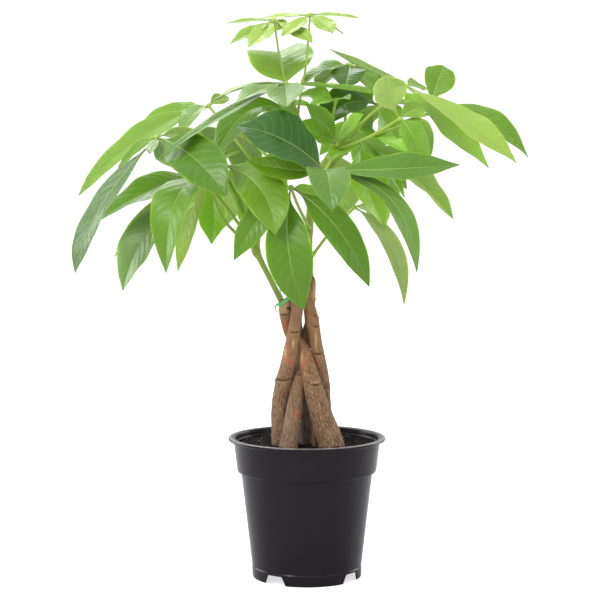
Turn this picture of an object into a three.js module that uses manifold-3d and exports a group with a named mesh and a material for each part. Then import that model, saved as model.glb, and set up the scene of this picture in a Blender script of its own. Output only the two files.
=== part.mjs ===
// A potted money tree: five braided trunks in a black nursery pot, with a leafy green stem on each trunk.
// Units are millimetres. Z is up, the front of the plant looks along -Y, and the pot stands on Z = 0.
import * as THREE from "three";
import { mergeVertices } from "three/addons/utils/BufferGeometryUtils.js";
import Module from "manifold-3d";

const wasm = await Module();
wasm.setup();

// The pot
const RIM_RADIUS = 75;
const POT_HEIGHT = 133.5;
const WALL = 1.6;
const LIP_HEIGHT = 3;
const LIP_ROUND = 1.4;
const COLLAR_TOP_RADIUS = 69.6;
const COLLAR_FOOT_RADIUS = 66.4;
const COLLAR_FOOT_Z = 103;
const LEDGE_Z = 100.2;
const LEDGE_ROUND = 1;
const WALL_TOP_RADIUS = 62.6;
const FOOT_RADIUS = 52.3;
const FLOOR_Z = 11;
const SKIRT_TAPER = 0.4;
const GROOVE_DEPTH = 0.7;
const GROOVE_HEIGHT = 1;
const NOTCH_HEIGHT = 8.5;
const NOTCH_HALF_FOOT = 12;
const NOTCH_HALF_TOP = 8;
const NOTCH_TURNS = [54, 144, 234, 324];
const DRAIN_RADIUS = 5;
const DRAIN_CIRCLE = 33;
const DRAIN_TURN = 45;
const POT_SEGMENTS = 36;
const DRAIN_SEGMENTS = 12;

// The soil
const SOIL_TOP = 127;
const SOIL_HUMP = 2.2;
const SOIL_GAP = 0.7;
const SOIL_RINGS = [0.9, 0.6, 0.3];
const SOIL_SEGMENTS = 18;

// Clearance left round a piece that stands in, or lies against, another
const GAP = 0.35;

// The blade of a leaflet
const BLADE_THICKNESS = 0.7;
const ROOT_THICKNESS = 1.8;
const BLADE_FOLD = 0.16;
const BLADE_WAVE = 0.05;
const BLADE_WAVES = 9;
const BLADE_NECK = 0.15;
// A blade's ring has its lower left, middle and right points first, and its upper face starts here
const UPPER_FACE = 3;
// Along the blade, how wide it is as a share of its greatest width
const BLADE_OUTLINE = [
  [0.006, 0.03],
  [0.1, 0.05],
  [0.28, 0.74],
  [0.54, 1],
  [0.81, 0.72],
  [1, 0.02],
];
const HUB_RADIUS = 3;
const PETIOLE_RADIUS = [1.6, 1.2];

// The plant is laid out as it's seen from the front: a place is [across, up, depth], where across and up
// are read in the plane of the pot's axis, and depth is how far behind that plane the place really is.
const EYE = { across: -6.5, up: 383, distance: 1600 };

// The trunks, from the root up: [across, up, depth, radius]
const TRUNKS = [
  [[-22, 92, -10, 9.5], [-24, 123, -9, 9.3], [-24.5, 168, -7, 8.6], [-22, 186, -9, 7.8], [-17, 206, -12, 6.9],
    [-14.5, 221, -14, 6.7], [-11, 241, -13, 6.1], [-8, 256, -11, 5.6], [-6, 268, -9, 4.4]],
  [[-20, 92, -29, 8.8], [-17, 123, -26, 8.7], [-11, 165, -18, 7.2], [-7.5, 186, -9, 6.3], [-5, 206, 1, 5.6],
    [-3, 224, 8, 5], [1, 246, 13, 4.6], [4, 268, 14, 4], [5, 286, 14, 3.4]],
  [[27, 92, -20, 12.4], [24, 123, -19, 12.2], [15, 150, -18, 10.8], [7, 177, -17, 9.2], [0, 201, -11, 7.2],
    [-4, 217, -3, 5.9], [-11, 232, -1, 5.3], [-18.5, 246, -4, 5.3], [-21, 265, -7, 5.6]],
  [[10, 92, 12, 9], [13, 123, 11, 8.9], [15, 160, 5, 7.9], [14.5, 185, 1, 7.1], [10.7, 214, -1, 5.7],
    [4.5, 248, -3, 5.5], [0, 267, -4, 4.6], [-2, 281, -4, 4]],
  [[3, 92, 32, 10.2], [1, 123, 29, 10], [-3, 165, 20, 8.2], [-6, 195, 15, 7], [-9, 225, 11, 6],
    [-11, 252, 9, 5.2], [-10, 278, 9, 4]],
];
const TRUNK_SIDES = 9;
const TRUNK_STEPS = 14;

// The green stems, from the root up: name and [across, up, depth, radius]. They grow out of trunks 3, 1, 4,
// 5 and 2 in this order.
const STEMS = [
  ["shoot_left", [[-20, 252, -6, 2.8], [-27, 265, -8, 2.8], [-38, 286, -12, 2.6], [-46, 303, -16, 3],
    [-48, 310, -16, 3.4], [-47, 322, -16, 2.8], [-46, 331, -16, 2]]],
  ["shoot_middle", [[-7, 258, -10, 3], [-7, 285, -6, 3.2], [-11, 320, -3, 3], [-19, 356, -3, 2.8],
    [-21, 380, -4, 2.6], [-16, 410, -5, 2.4], [-10, 440, -6, 2]]],
  ["shoot_right", [[-2, 270, -4, 3], [1, 295, -2, 3.7], [2, 330, 0, 3.6], [4, 356, 2, 3.4],
    [12, 384, 2, 3], [22, 400, 0, 2.7], [29, 410, -2, 2.4]]],
  ["shoot_back_left", [[-10, 268, 9, 3], [-8, 292, 16, 3.1], [-12, 322, 26, 3], [-19, 354, 36, 2.9],
    [-27, 378, 44, 2.7], [-34, 400, 50, 2.4]]],
  ["shoot_back_right", [[5, 276, 14, 2.4], [2.5, 300, 22, 3], [3, 330, 33, 2.9], [7, 358, 42, 2.8],
    [20, 386, 49, 2.6], [36, 405, 52, 2.3]]],
];
const STEM_SIDES = 7;

// The compound leaves: stem, joint on the stem, bow of the petiole, hub, the way the upper side faces in
// X, Y and Z, and the leaflets. A leaflet is its tip, its bow away from the straight line, its width, its
// roll in degrees and, where its broadest part lies nearer the hub, how much its outline is pulled there.
const LEAVES = [
  // low front
  ["shoot_right", [3, 330, 0], [-3, 4, -10], [-15, 370, -66], [0, -0.85, 0.5], [
    [-2, 254, -74, -9, 0, -16, 42, 0],
    [-69, 301, -74, -2, 6, -8, 27, 0],
    [59, 276, -72, 6, 9, -10, 31, 0],
    [-38, 375, -56, 0, 0, 0, 11, 0],
    [12, 363, -56, 0, 0, 0, 14, 0],
  ]],
  // front, the large dark one
  ["shoot_right", [20, 398, 0], [4, 4, -10], [16, 385, -80], [0.1, -0.7, 0.7], [
    [-66, 427, -88, 4, 8, -14, 60, 0, 1.25],
    [-57, 395, -96, 0, -3, 0, 21, -30],
    [24, 347, -148, 0, 14, -12, 44, 0],
    [104, 289, -112, 21, 22, -6, 18, 0],
    [144, 391, -96, 0, -1, -8, 32, 0],
  ]],
  // left front
  ["shoot_left", [-48, 322, -16], [2, 4, -6], [-83, 393, -62], [-0.1, -0.65, 0.75], [
    [-30, 325, -96, 12, 10, -6, 44, 0],
    [-52, 330, -22, 2, 2, 0, 29, 0],
    [-62, 404, -44, 0, 3, 0, 12, 0],
  ]],
  // left, glossy
  ["shoot_left", [-47, 312, -16], [2, 6, -6], [-141, 417, -48], [-0.3, -0.6, 0.75], [
    [-76, 362, -104, 2, 8, -6, 47, 0],
    [-92, 411, -10, 0, 6, 0, 14, 60],
    [-179, 384, -50, 0, 5, 0, 14, 0],
    [-219, 290, -80, -14, -3, -6, 27, 0],
    [-148, 401, -72, 0, 0, 0, 10, 0],
    [-110, 386, -58, -5, 0, 0, 26, 0],
  ]],
  // left, hanging
  ["shoot_left", [-47, 309, -16], [-8, -6, -2], [-94, 383, -4], [-0.4, -0.65, 0.65], [
    [-203, 334, -20, 0, 9, -4, 34, 20],
    [-133, 289, -80, -10, 21, -38, 46, 0],
    [-122, 290, -30, 0, 8, -6, 24, 0],
    [-90, 316, 2, 4, 3, 4, 34, 0],
    [-182, 303, 10, -8, 4, 4, 20, 0],
    [-174, 273, -16, -14, 4, -6, 44, 0],
  ]],
  // upper left, light green
  ["shoot_middle", [-19, 352, -3], [-4, 6, 0], [-92, 446, 16], [-0.35, -0.6, 0.7], [
    [-215, 362, -6, -4, 11, -6, 34, 0],
    [-119, 421, -8, 0, 6, 0, 24, 0],
    [-73, 454, 48, 0, 2, 0, 14, 40],
    [-165, 420, 76, 0, 5, 6, 28, 0],
  ]],
  // top of the middle stem
  ["shoot_middle", [-10, 437, -6], [2, 0, 0], [-20, 467, -12], [-0.1, -0.35, 0.93], [
    [-27, 491, 84, 0, 14, -14, 62, 0, 1.6],
    [75, 455, -22, 0, 2, 0, 30, -24],
    [-94, 447, 2, 0, 7, 0, 18, 10],
    [-66, 449, -64, 0, 3, 0, 26, 0],
    [-19, 445, -96, 0, 3, 0, 36, 0],
    [-142, 395, -92, 0, 5, -6, 21, 0],
  ]],
  // the leaf at the fork of the middle stem
  ["shoot_middle", [-11, 428, -6], [0, 0, 0], [-12, 437, 6], [-0.1, -0.3, 0.9], [
    [-88, 394, -30, -4, 28, 0, 26, 20],
    [-40, 434, -44, 0, 2, 0, 14, 0],
  ]],
  // young leaves at the very top
  ["shoot_middle", [-10, 438, -6], [-3, 0, 0], [-31, 526, -12], [0, -0.5, 0.85], [
    [-75, 523, -6, 0, 1, 0, 8, 0],
    [-72, 504, -40, 0, 0, 0, 16, 0],
    [-55, 501, -52, 1, -1, 0, 20, 0],
    [5, 505, -46, 2, 0, 0, 18, 0],
    [-24, 517, 44, 0, 2, 0, 18, 0],
  ]],
  ["shoot_middle", [-9, 438, -6], [2, 0, 0], [3, 531, -10], [0, -0.5, 0.85], [
    [49, 528, -10, 0, 1, 0, 8, 0],
    [24, 515, -44, 4, 1, 0, 20, 0],
    [34, 513, 18, 2, 0, 0, 12, 0],
    [-24, 511, -46, 0, -1, 0, 16, 0],
    [-38, 513, 14, 0, -1, 0, 14, 0],
    [-42, 528, 20, 0, 0, 0, 12, 0],
  ]],
  // right, bright
  ["shoot_right", [28, 408, -2], [0, 2, -2], [93, 465, -12], [0.3, -0.6, 0.75], [
    [21, 499, -6, 0, 3, 0, 28, 50, 1.5],
    [197, 393, -64, 2, 3, -6, 36, 0],
    [171, 388, -30, -1, 3, 0, 36, 0],
    [112, 463, 30, 0, 1, 0, 18, 0],
  ]],
  // right, the outermost
  ["shoot_right", [28, 409, -1], [4, -2, 4], [110, 438, 18], [0.3, -0.6, 0.75], [
    [208, 398, 10, 4, 17, -4, 34, 0],
    [195, 398, 30, -1, 10, 0, 30, 0],
    [126, 480, 62, 2, 0, 0, 31, 0],
    [150, 427, 84, 0, 8, 4, 26, 0],
    [92, 459, 30, 0, 0, 0, 22, 0],
  ]],
  // right, below the bright one
  ["shoot_right", [25, 404, -1], [2, -2, -8], [87, 434, -56], [0.2, -0.75, 0.6], [
    [75, 474, -62, -2, 0, 0, 34, 0],
    [116, 398, -52, 3, 6, 0, 26, 0],
    [112, 446, -40, 0, 2, 0, 18, 0],
    [112, 384, -62, 5, 11, -4, 34, 0],
  ]],
  // right, behind the large dark one
  ["shoot_right", [26, 405, 0], [0, 2, 4], [51, 414, 20], [0.2, -0.4, 0.9], [
    [76, 331, 12, -3, 4, 6, 42, 0],
    [138, 340, 10, 5, 10, 0, 45, 0],
    [92, 360, 16, 3, 2, 0, 18, 0],
    [94, 402, -22, 0, 6, 0, 28, 0],
    [20, 394, -24, 0, 4, 0, 20, 0],
  ]],
  // right, low, seen from below
  ["shoot_right", [4, 304, -1], [-1, 2, 0], [45, 351, 16], [0.3, 0.8, 0.3], [
    [92, 257, 14, 11, 8, 0, 20, 0],
    [24, 374, 16, 0, 0, 0, 16, 0],
    [70, 330, 80, 4, 10, 0, 30, 0],
  ]],
  // young leaf at the fork of the right stem
  ["shoot_right", [28, 409, -2], [0, 0, 0], [28, 410, -10], [-0.2, -0.7, 0.6], [
    [-1, 448, -22, 2, 2, -2, 20, 0],
    [-9, 429, -42, 0, 0, -2, 30, 0],
    [53, 438, -30, 0, 3, 0, 18, 0],
  ]],
  // small leaf behind it
  ["shoot_right", [27, 408, 2], [-3, 0, 2], [27, 451, 14], [0, -0.5, 0.85], [
    [2, 444, -14, 0, 3, 0, 14, 0],
    [-8, 455, 20, 0, 3, 0, 26, 0],
    [40, 452, -14, 0, 2, 0, 14, 0],
  ]],
  // behind, dark
  ["shoot_back_right", [24, 391, 50], [2, 4, -2], [66, 447, 44], [0, -0.6, 0.8], [
    [12, 425, 22, -2, 12, 0, 44, 0],
    [88, 414, 56, 2, 8, 0, 34, 0],
    [60, 415, 96, 0, 8, 6, 42, 0],
    [22, 448, 92, 0, 8, 4, 32, 0],
    [100, 442, 100, 0, 6, 4, 32, 0],
  ]],
  // behind, the peaked one
  ["shoot_back_right", [36, 404, 52], [-2, 4, 0], [41, 484, 40], [0, -0.3, 0.9], [
    [-6, 466, 34, 0, 5, 0, 32, 0],
    [36, 462, 4, 0, 2, 0, 34, 0],
    [84, 452, 24, 2, 2, 0, 30, 0],
    [62, 456, 108, 0, 6, 6, 34, 0],
    [10, 458, 104, 0, 8, 6, 34, 0],
  ]],
  // the back of the crown
  ["shoot_back_left", [-33, 395, 49], [-2, 4, 4], [-64, 420, 76], [-0.3, 0.5, 0.8], [
    [-84, 426, 30, 2, 2, 0, 24, 0],
    [-118, 396, 86, 0, 6, 4, 34, 0],
    [-102, 372, 132, 0, 12, 6, 36, 0],
    [-52, 364, 148, 0, 14, 6, 38, 0],
    [-14, 398, 122, 0, 8, 4, 32, 0],
  ]],
  ["shoot_back_left", [-24, 370, 41], [0, 2, 6], [-52, 376, 78], [-0.1, 0.7, 0.7], [
    [-104, 352, 98, 0, 8, 4, 28, 0],
    [-80, 330, 134, 0, 10, 8, 34, 0],
    [-32, 340, 132, 0, 10, 8, 32, 0],
  ]],
  ["shoot_back_left", [-34, 400, 50], [0, 3, 4], [-38, 440, 70], [0, 0.3, 0.95], [
    [-78, 432, 88, 0, 5, 0, 28, 0],
    [-64, 426, 134, 0, 10, 4, 34, 0],
    [-16, 424, 142, 0, 10, 4, 34, 0],
    [4, 446, 84, 0, 4, 0, 24, 0],
  ]],
  ["shoot_back_right", [12, 371, 46], [2, 3, 6], [50, 388, 80], [0.3, 0.6, 0.75], [
    [94, 368, 92, 2, 8, 4, 32, 0],
    [82, 342, 132, 2, 12, 8, 36, 0],
    [32, 340, 142, 0, 12, 8, 36, 0],
    [6, 372, 108, 0, 8, 4, 28, 0],
  ]],
  ["shoot_back_right", [36, 402, 52], [2, 2, 4], [62, 418, 92], [0.2, 0.5, 0.85], [
    [108, 408, 96, 0, 6, 4, 32, 0],
    [104, 386, 140, 0, 12, 6, 36, 0],
    [52, 376, 150, 0, 14, 6, 38, 0],
    [12, 400, 128, 0, 10, 4, 32, 0],
  ]],
];
const PETIOLE_SIDES = 5;
const PETIOLE_STEPS = 2;

// The green tie round the top of the third trunk, and its loose end
const TIE = { at: [-19.6, 260, -6.6], radius: 6.6, height: 3.4, thickness: 0.8, lean: 34 };
const TIE_SEGMENTS = 12;
const TIE_END = [[-25, 259, -12], [-28.5, 256, -12], [-27.5, 251, -11], [-24.6, 247, -11]];
const TIE_END_SIDES = 6;
const TIE_END_STEPS = 6;

// A place as seen from the front, turned into X, Y and Z.
function place([across, up, depth]) {
  const scale = 1 + depth / EYE.distance;
  const x = EYE.across + (across - EYE.across) * scale;
  const z = EYE.up + (up - EYE.up) * scale;
  return new THREE.Vector3(x, depth, z);
}

// Points and triangles made into a closed solid.
function solidOf(points, triangles) {
  const vertProperties = new Float32Array(points.flatMap((p) => p.toArray()));
  const triVerts = new Uint32Array(triangles);
  return new wasm.Manifold(new wasm.Mesh({ numProp: 3, vertProperties, triVerts }));
}

// A geometry made into a closed solid, with its seams merged and its flat triangles left out.
function fromGeometry(geometry) {
  geometry.deleteAttribute("normal");
  geometry.deleteAttribute("uv");
  const merged = mergeVertices(geometry);
  const { position } = merged.attributes;
  const points = [];
  for (let i = 0; i < position.count; i++) {
    points.push(new THREE.Vector3().fromBufferAttribute(position, i));
  }
  const corners = [...merged.index.array];
  const triangles = [];
  for (let i = 0; i < corners.length; i += 3) {
    const [a, b, c] = corners.slice(i, i + 3);
    if (a !== b && b !== c && c !== a) triangles.push(a, b, c);
  }
  return solidOf(points, triangles);
}

// Rings of equally many points joined into a closed skin, with a fan of triangles over each end. From the
// side that's named by turnedFrom on, the squares are split along their other diagonal.
function skin(rings, turnedFrom = Infinity) {
  const count = rings[0].length;
  const last = (rings.length - 1) * count;
  const triangles = [];
  for (let a = 0; a < last; a += count) {
    const b = a + count;
    for (let j = 0; j < count; j++) {
      const k = (j + 1) % count;
      if (j < turnedFrom) triangles.push(a + j, a + k, b + k, a + j, b + k, b + j);
      else triangles.push(a + j, a + k, b + j, a + k, b + k, b + j);
    }
  }
  for (let j = 1; j < count - 1; j++) {
    triangles.push(0, j + 1, j);
    triangles.push(last, last + j, last + j + 1);
  }
  return solidOf(rings.flat(), triangles);
}

// A round limb through points given as [across, up, depth, radius]. What it's swollen by widens it and
// lengthens it at both ends.
function limb(route, sides, steps, swell = 0) {
  const path = new THREE.CatmullRomCurve3(route.map(place));
  const radii = new THREE.CatmullRomCurve3(route.map((p) => new THREE.Vector3(p[3], 0, 0)));
  const side = new THREE.Vector3(1, 0, 0);
  const rings = [];
  for (let i = 0; i <= steps; i++) {
    const share = i / steps;
    const along = path.getTangent(share);
    const centre = path.getPoint(share);
    if (i === 0) centre.addScaledVector(along, -swell);
    if (i === steps) centre.addScaledVector(along, swell);
    side.addScaledVector(along, -side.dot(along)).normalize();
    const across = new THREE.Vector3().crossVectors(along, side);
    const radius = radii.getPoint(share).x + swell;
    const ring = [];
    for (let j = 0; j < sides; j++) {
      const turn = (2 * Math.PI * j) / sides;
      const point = centre.clone();
      point.addScaledVector(side, radius * Math.cos(turn));
      point.addScaledVector(across, radius * Math.sin(turn));
      ring.push(point);
    }
    rings.push(ring);
  }
  return skin(rings);
}

// The piece of a solid that holds together as one body, without loose scraps.
function largest(solid) {
  return solid.decompose().reduce((a, b) => (b.volume() > a.volume() ? b : a));
}

function union(solids) {
  return wasm.Manifold.union(solids);
}

// A profile of [radius, height] turned round the upright axis.
function turned(profile, segments) {
  const points = profile.map(([radius, height]) => new THREE.Vector2(radius, height));
  const geometry = new THREE.LatheGeometry(points, segments);
  geometry.rotateX(Math.PI / 2);
  return fromGeometry(geometry);
}

// One notch in the foot skirt: a trapezoid prism pointing out from the axis.
function notch(turn) {
  const outline = new THREE.Shape([
    new THREE.Vector2(-NOTCH_HALF_FOOT, -NOTCH_HEIGHT),
    new THREE.Vector2(NOTCH_HALF_FOOT, -NOTCH_HEIGHT),
    new THREE.Vector2(NOTCH_HALF_FOOT, 0),
    new THREE.Vector2(NOTCH_HALF_TOP, NOTCH_HEIGHT),
    new THREE.Vector2(-NOTCH_HALF_TOP, NOTCH_HEIGHT),
    new THREE.Vector2(-NOTCH_HALF_FOOT, 0),
  ]);
  const geometry = new THREE.ExtrudeGeometry(outline, { depth: FOOT_RADIUS, bevelEnabled: false });
  geometry.rotateX(Math.PI / 2);
  geometry.translate(0, -FOOT_RADIUS / 2, 0);
  geometry.rotateZ(THREE.MathUtils.degToRad(turn));
  return fromGeometry(geometry);
}

function drain(turn) {
  const geometry = new THREE.CylinderGeometry(DRAIN_RADIUS, DRAIN_RADIUS, FLOOR_Z, DRAIN_SEGMENTS);
  geometry.rotateX(Math.PI / 2);
  geometry.translate(0, -DRAIN_CIRCLE, FLOOR_Z - WALL);
  geometry.rotateZ(THREE.MathUtils.degToRad(turn));
  return fromGeometry(geometry);
}

function pot() {
  const body = turned(
    [
      [0, FLOOR_Z - WALL],
      [FOOT_RADIUS - WALL, FLOOR_Z - WALL],
      [FOOT_RADIUS - WALL - SKIRT_TAPER, 0],
      [FOOT_RADIUS - SKIRT_TAPER, 0],
      [FOOT_RADIUS, FLOOR_Z - GROOVE_HEIGHT],
      [FOOT_RADIUS - GROOVE_DEPTH, FLOOR_Z],
      [FOOT_RADIUS, FLOOR_Z + GROOVE_HEIGHT],
      [WALL_TOP_RADIUS, LEDGE_Z],
      [COLLAR_FOOT_RADIUS - LEDGE_ROUND, LEDGE_Z + LEDGE_ROUND],
      [COLLAR_FOOT_RADIUS, COLLAR_FOOT_Z],
      [COLLAR_TOP_RADIUS, POT_HEIGHT - LIP_HEIGHT - LEDGE_ROUND],
      [RIM_RADIUS - LIP_ROUND, POT_HEIGHT - LIP_HEIGHT],
      [RIM_RADIUS, POT_HEIGHT - LIP_ROUND],
      [RIM_RADIUS - LIP_ROUND, POT_HEIGHT],
      [COLLAR_TOP_RADIUS - WALL, POT_HEIGHT - LIP_ROUND / 2],
      [COLLAR_FOOT_RADIUS - WALL, COLLAR_FOOT_Z],
      [WALL_TOP_RADIUS - WALL, COLLAR_FOOT_Z - LEDGE_ROUND],
      [FOOT_RADIUS - WALL, FLOOR_Z],
      [0, FLOOR_Z],
    ],
    POT_SEGMENTS,
  );
  const drains = NOTCH_TURNS.map((turn) => drain(turn + DRAIN_TURN));
  return body.subtract(union([...NOTCH_TURNS.map(notch), ...drains]));
}

// The soil, filling the pot to a little below its rim, with an uneven top.
function soilBody() {
  const collarWall = COLLAR_FOOT_RADIUS - WALL - SOIL_GAP;
  const side = [
    [FOOT_RADIUS - WALL - SOIL_GAP, FLOOR_Z + SOIL_GAP],
    [WALL_TOP_RADIUS - WALL - SOIL_GAP, COLLAR_FOOT_Z + SOIL_GAP],
    [collarWall, COLLAR_FOOT_Z + 2 * SOIL_GAP],
    [collarWall + 1, SOIL_TOP - 2 * SOIL_HUMP],
  ];
  const ringOf = (radius, height) => {
    const ring = [];
    for (let j = 0; j < SOIL_SEGMENTS; j++) {
      const turn = (2 * Math.PI * j) / SOIL_SEGMENTS;
      ring.push(new THREE.Vector3(radius * Math.cos(turn), radius * Math.sin(turn), height(turn)));
    }
    return ring;
  };
  const top = SOIL_RINGS.map((share, i) => {
    const hump = (turn) => SOIL_HUMP * share * Math.sin(3 * turn + 2 * i) * Math.sin(2 * turn + i);
    return ringOf(collarWall * share, (turn) => SOIL_TOP + hump(turn));
  });
  return skin([...side.map(([radius, height]) => ringOf(radius, () => height)), ...top]);
}

// One leaflet: a thin folded blade along a curve from the hub to the tip. Its phase shifts its waves, and
// its upper face is split into triangles like its lower one, so that the two never cross.
function blade(hub, facing, leaflet, phase) {
  const [bowAcross, bowUp, bowDepth, width, roll, pull = 1] = leaflet.slice(3);
  const bow = [bowAcross, bowUp, bowDepth];
  const root = place(hub);
  const tip = place(leaflet);
  const middle = place(bow.map((offset, k) => (hub[k] + leaflet[k]) / 2 + offset));
  const control = middle.multiplyScalar(2).addScaledVector(root, -0.5).addScaledVector(tip, -0.5);
  const curve = new THREE.QuadraticBezierCurve3(root, control, tip);
  const rings = BLADE_OUTLINE.map(([t, share]) => {
    const centre = curve.getPoint(t ** pull);
    const along = curve.getTangent(t ** pull);
    const side = new THREE.Vector3().crossVectors(facing, along).normalize();
    side.applyAxisAngle(along, THREE.MathUtils.degToRad(roll));
    const normal = new THREE.Vector3().crossVectors(along, side);
    const half = (width / 2) * share;
    const fold = half * BLADE_FOLD;
    const wave = BLADE_WAVE * width * share * Math.sin(BLADE_WAVES * t + phase);
    const thickness = t < BLADE_NECK ? ROOT_THICKNESS : BLADE_THICKNESS;
    const at = (offset, lift, face) => {
      const point = centre.clone().addScaledVector(side, offset * half);
      return point.addScaledVector(normal, lift + (face * thickness) / 2);
    };
    const lower = [at(-1, fold + wave, -1), at(0, 0, -1), at(1, fold - wave, -1)];
    const upper = [at(1, fold - wave, 1), at(0, 0, 1), at(-1, fold + wave, 1)];
    return [...lower, ...upper];
  });
  return skin(rings, UPPER_FACE);
}

// The knot of green where a leaf's leaflets meet its petiole.
function hubKnot(hub) {
  const geometry = new THREE.OctahedronGeometry(HUB_RADIUS);
  geometry.translate(...place(hub).toArray());
  return fromGeometry(geometry);
}

// A compound leaf: the petiole, the hub and its leaflets.
function leaf([, joint, bow, hub, facing, leaflets], phase) {
  const upper = new THREE.Vector3(...facing).normalize();
  const [rootRadius, hubRadius] = PETIOLE_RADIUS;
  const middle = bow.map((offset, k) => (joint[k] + hub[k]) / 2 + offset);
  const middleRadius = (rootRadius + hubRadius) / 2;
  const route = [[...joint, rootRadius], [...middle, middleRadius], [...hub, hubRadius]];
  const petiole = limb(route, PETIOLE_SIDES, PETIOLE_STEPS);
  const blades = leaflets.map((leaflet, i) => blade(hub, upper, leaflet, phase + i));
  return union([petiole, hubKnot(hub), ...blades]);
}

function stem(route, swell) {
  return limb(route, STEM_SIDES, 2 * (route.length - 1), swell);
}

// A green stem with all of its leaves, grown as one piece.
function shoot([name, route]) {
  const leaves = [];
  LEAVES.forEach((row, i) => {
    if (row[0] === name) leaves.push(leaf(row, i));
  });
  return largest(union([stem(route, 0), ...leaves]));
}

// The tie: a band round the trunk, leaning with it, and its loose end.
function tie() {
  const { radius, height, thickness, lean } = TIE;
  const band = turned(
    [
      [radius, -height / 2],
      [radius + thickness, -height / 2],
      [radius + thickness, height / 2],
      [radius, height / 2],
      [radius, -height / 2],
    ],
    TIE_SEGMENTS,
  );
  const ring = band.rotate([0, -lean, 0]).translate(place(TIE.at).toArray());
  const end = TIE_END.map((point) => [...point, thickness]);
  return union([ring, limb(end, TIE_END_SIDES, TIE_END_STEPS)]);
}

const plant = new THREE.Group();
plant.name = "money_tree";

function add(name, solid, color, roughness) {
  const made = solid.getMesh();
  const geometry = new THREE.BufferGeometry();
  const vertices = new Float32Array(made.vertProperties);
  geometry.setAttribute("position", new THREE.BufferAttribute(vertices, 3));
  geometry.setIndex(new THREE.BufferAttribute(new Uint32Array(made.triVerts), 1));
  geometry.computeVertexNormals();
  const mesh = new THREE.Mesh(
    geometry,
    new THREE.MeshStandardMaterial({ color, roughness, metalness: 0 }),
  );
  mesh.name = name;
  plant.add(mesh);
}

// Each trunk gives way to the trunks before it and to the green stems, so that all of them stand clear.
const fatTrunks = TRUNKS.map((route) => limb(route, TRUNK_SIDES, TRUNK_STEPS, GAP));
const fatStems = STEMS.map(([, route]) => stem(route, GAP));
const trunks = TRUNKS.map((route, i) => {
  const neighbours = [...fatTrunks.slice(0, i), ...fatStems];
  return largest(limb(route, TRUNK_SIDES, TRUNK_STEPS).subtract(union(neighbours)));
});

add("pot", pot(), 0x2c2a2e, 0.35);
add("soil", largest(soilBody().subtract(union(fatTrunks))), 0x231f1c, 0.95);
trunks.forEach((solid, i) => add(`trunk_${i + 1}`, solid, 0x84674f, 0.8));
STEMS.forEach((row) => add(row[0], shoot(row), 0x679a2c, 0.4));
add("tie", largest(tie().subtract(union([...fatTrunks, ...fatStems]))), 0x3fa869, 0.35);

export default plant;
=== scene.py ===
"""The looks of a potted money tree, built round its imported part: a black nursery pot, crumbly soil, five
braided trunks, five green stems with their compound leaves, and a strip of green tie.

The sizes and tables of the plant are in millimetres, as in the part's source. Meshes, lights and what
the materials measure are in metres."""

import math

import bpy
import numpy as np
from bpy.props import FloatProperty, FloatVectorProperty, IntProperty, PointerProperty
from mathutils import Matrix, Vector, noise


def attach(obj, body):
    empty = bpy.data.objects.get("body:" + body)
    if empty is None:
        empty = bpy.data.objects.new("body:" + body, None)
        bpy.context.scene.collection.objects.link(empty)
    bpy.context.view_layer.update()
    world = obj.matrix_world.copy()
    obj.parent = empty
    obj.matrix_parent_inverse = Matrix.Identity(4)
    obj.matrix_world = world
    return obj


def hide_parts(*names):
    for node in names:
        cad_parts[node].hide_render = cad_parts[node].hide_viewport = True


bl_info = {
    "name": "Potted Money Tree",
    "version": (1, 0, 0),
    "blender": (4, 5, 0),
    "location": "View3D > Sidebar > Money Tree",
    "description": "Dresses the packed money tree in leaves, bark, soil and plastic",
    "category": "Object",
}

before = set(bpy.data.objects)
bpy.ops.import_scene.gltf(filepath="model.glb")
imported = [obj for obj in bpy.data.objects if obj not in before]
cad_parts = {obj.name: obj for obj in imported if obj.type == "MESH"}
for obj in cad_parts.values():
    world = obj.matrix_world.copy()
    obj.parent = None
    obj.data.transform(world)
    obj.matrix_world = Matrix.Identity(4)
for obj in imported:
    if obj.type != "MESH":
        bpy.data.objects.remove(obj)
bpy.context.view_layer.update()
MM = 0.001

# The pot
RIM_RADIUS = 75
POT_HEIGHT = 133.5
WALL = 1.6
LIP_HEIGHT = 3
INNER_STEP_DEPTH = 5.5
COLLAR_TOP_RADIUS = 69.6
COLLAR_FOOT_RADIUS = 66.4
COLLAR_FOOT_Z = 103
LEDGE_Z = 100.2
WALL_TOP_RADIUS = 62.6
FOOT_RADIUS = 52.3
FLOOR_Z = 11
SKIRT_TAPER = 0.4
GROOVE_DEPTH = 0.7
GROOVE_HEIGHT = 1
NOTCH_HEIGHT = 8.5
NOTCH_HALF_FOOT = 12
NOTCH_HALF_TOP = 8
NOTCH_TURNS = [54, 144, 234, 324]
DRAIN_RADIUS = 5
DRAIN_CIRCLE = 33
DRAIN_TURN = 45
DRAIN_SIDES = 24
CORNER_STEPS = 5
POT_CREASE = 38

# The soil
SOIL_TOP = 127
# How far the soil dips round the trunks' feet, and how wide the dip is.
SOIL_DIP = 5.5
SOIL_DIP_WIDTH = 27
SOIL_HUMP = 2.2
SOIL_LUMP = 0.9
SOIL_GAP = 0.7
SOIL_SIDES = 120
SOIL_RINGS = 44
SOIL_SEED = 7
# The random numbers from which a crumb turns into a bark chip, and into a piece of grit.
CHIP_FROM = (0.7, 0.82)
GRIT_FROM = (0.974, 0.978)

# The plant is laid out as it's seen from the front: a place is [across, up, depth], where across and up
# are read in the plane of the pot's axis, and depth is how far behind that plane the place really is.
EYE_ACROSS = -6.5
EYE_UP = 383
EYE_DISTANCE = 1600
EYE_PITCH = 4.27

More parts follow.
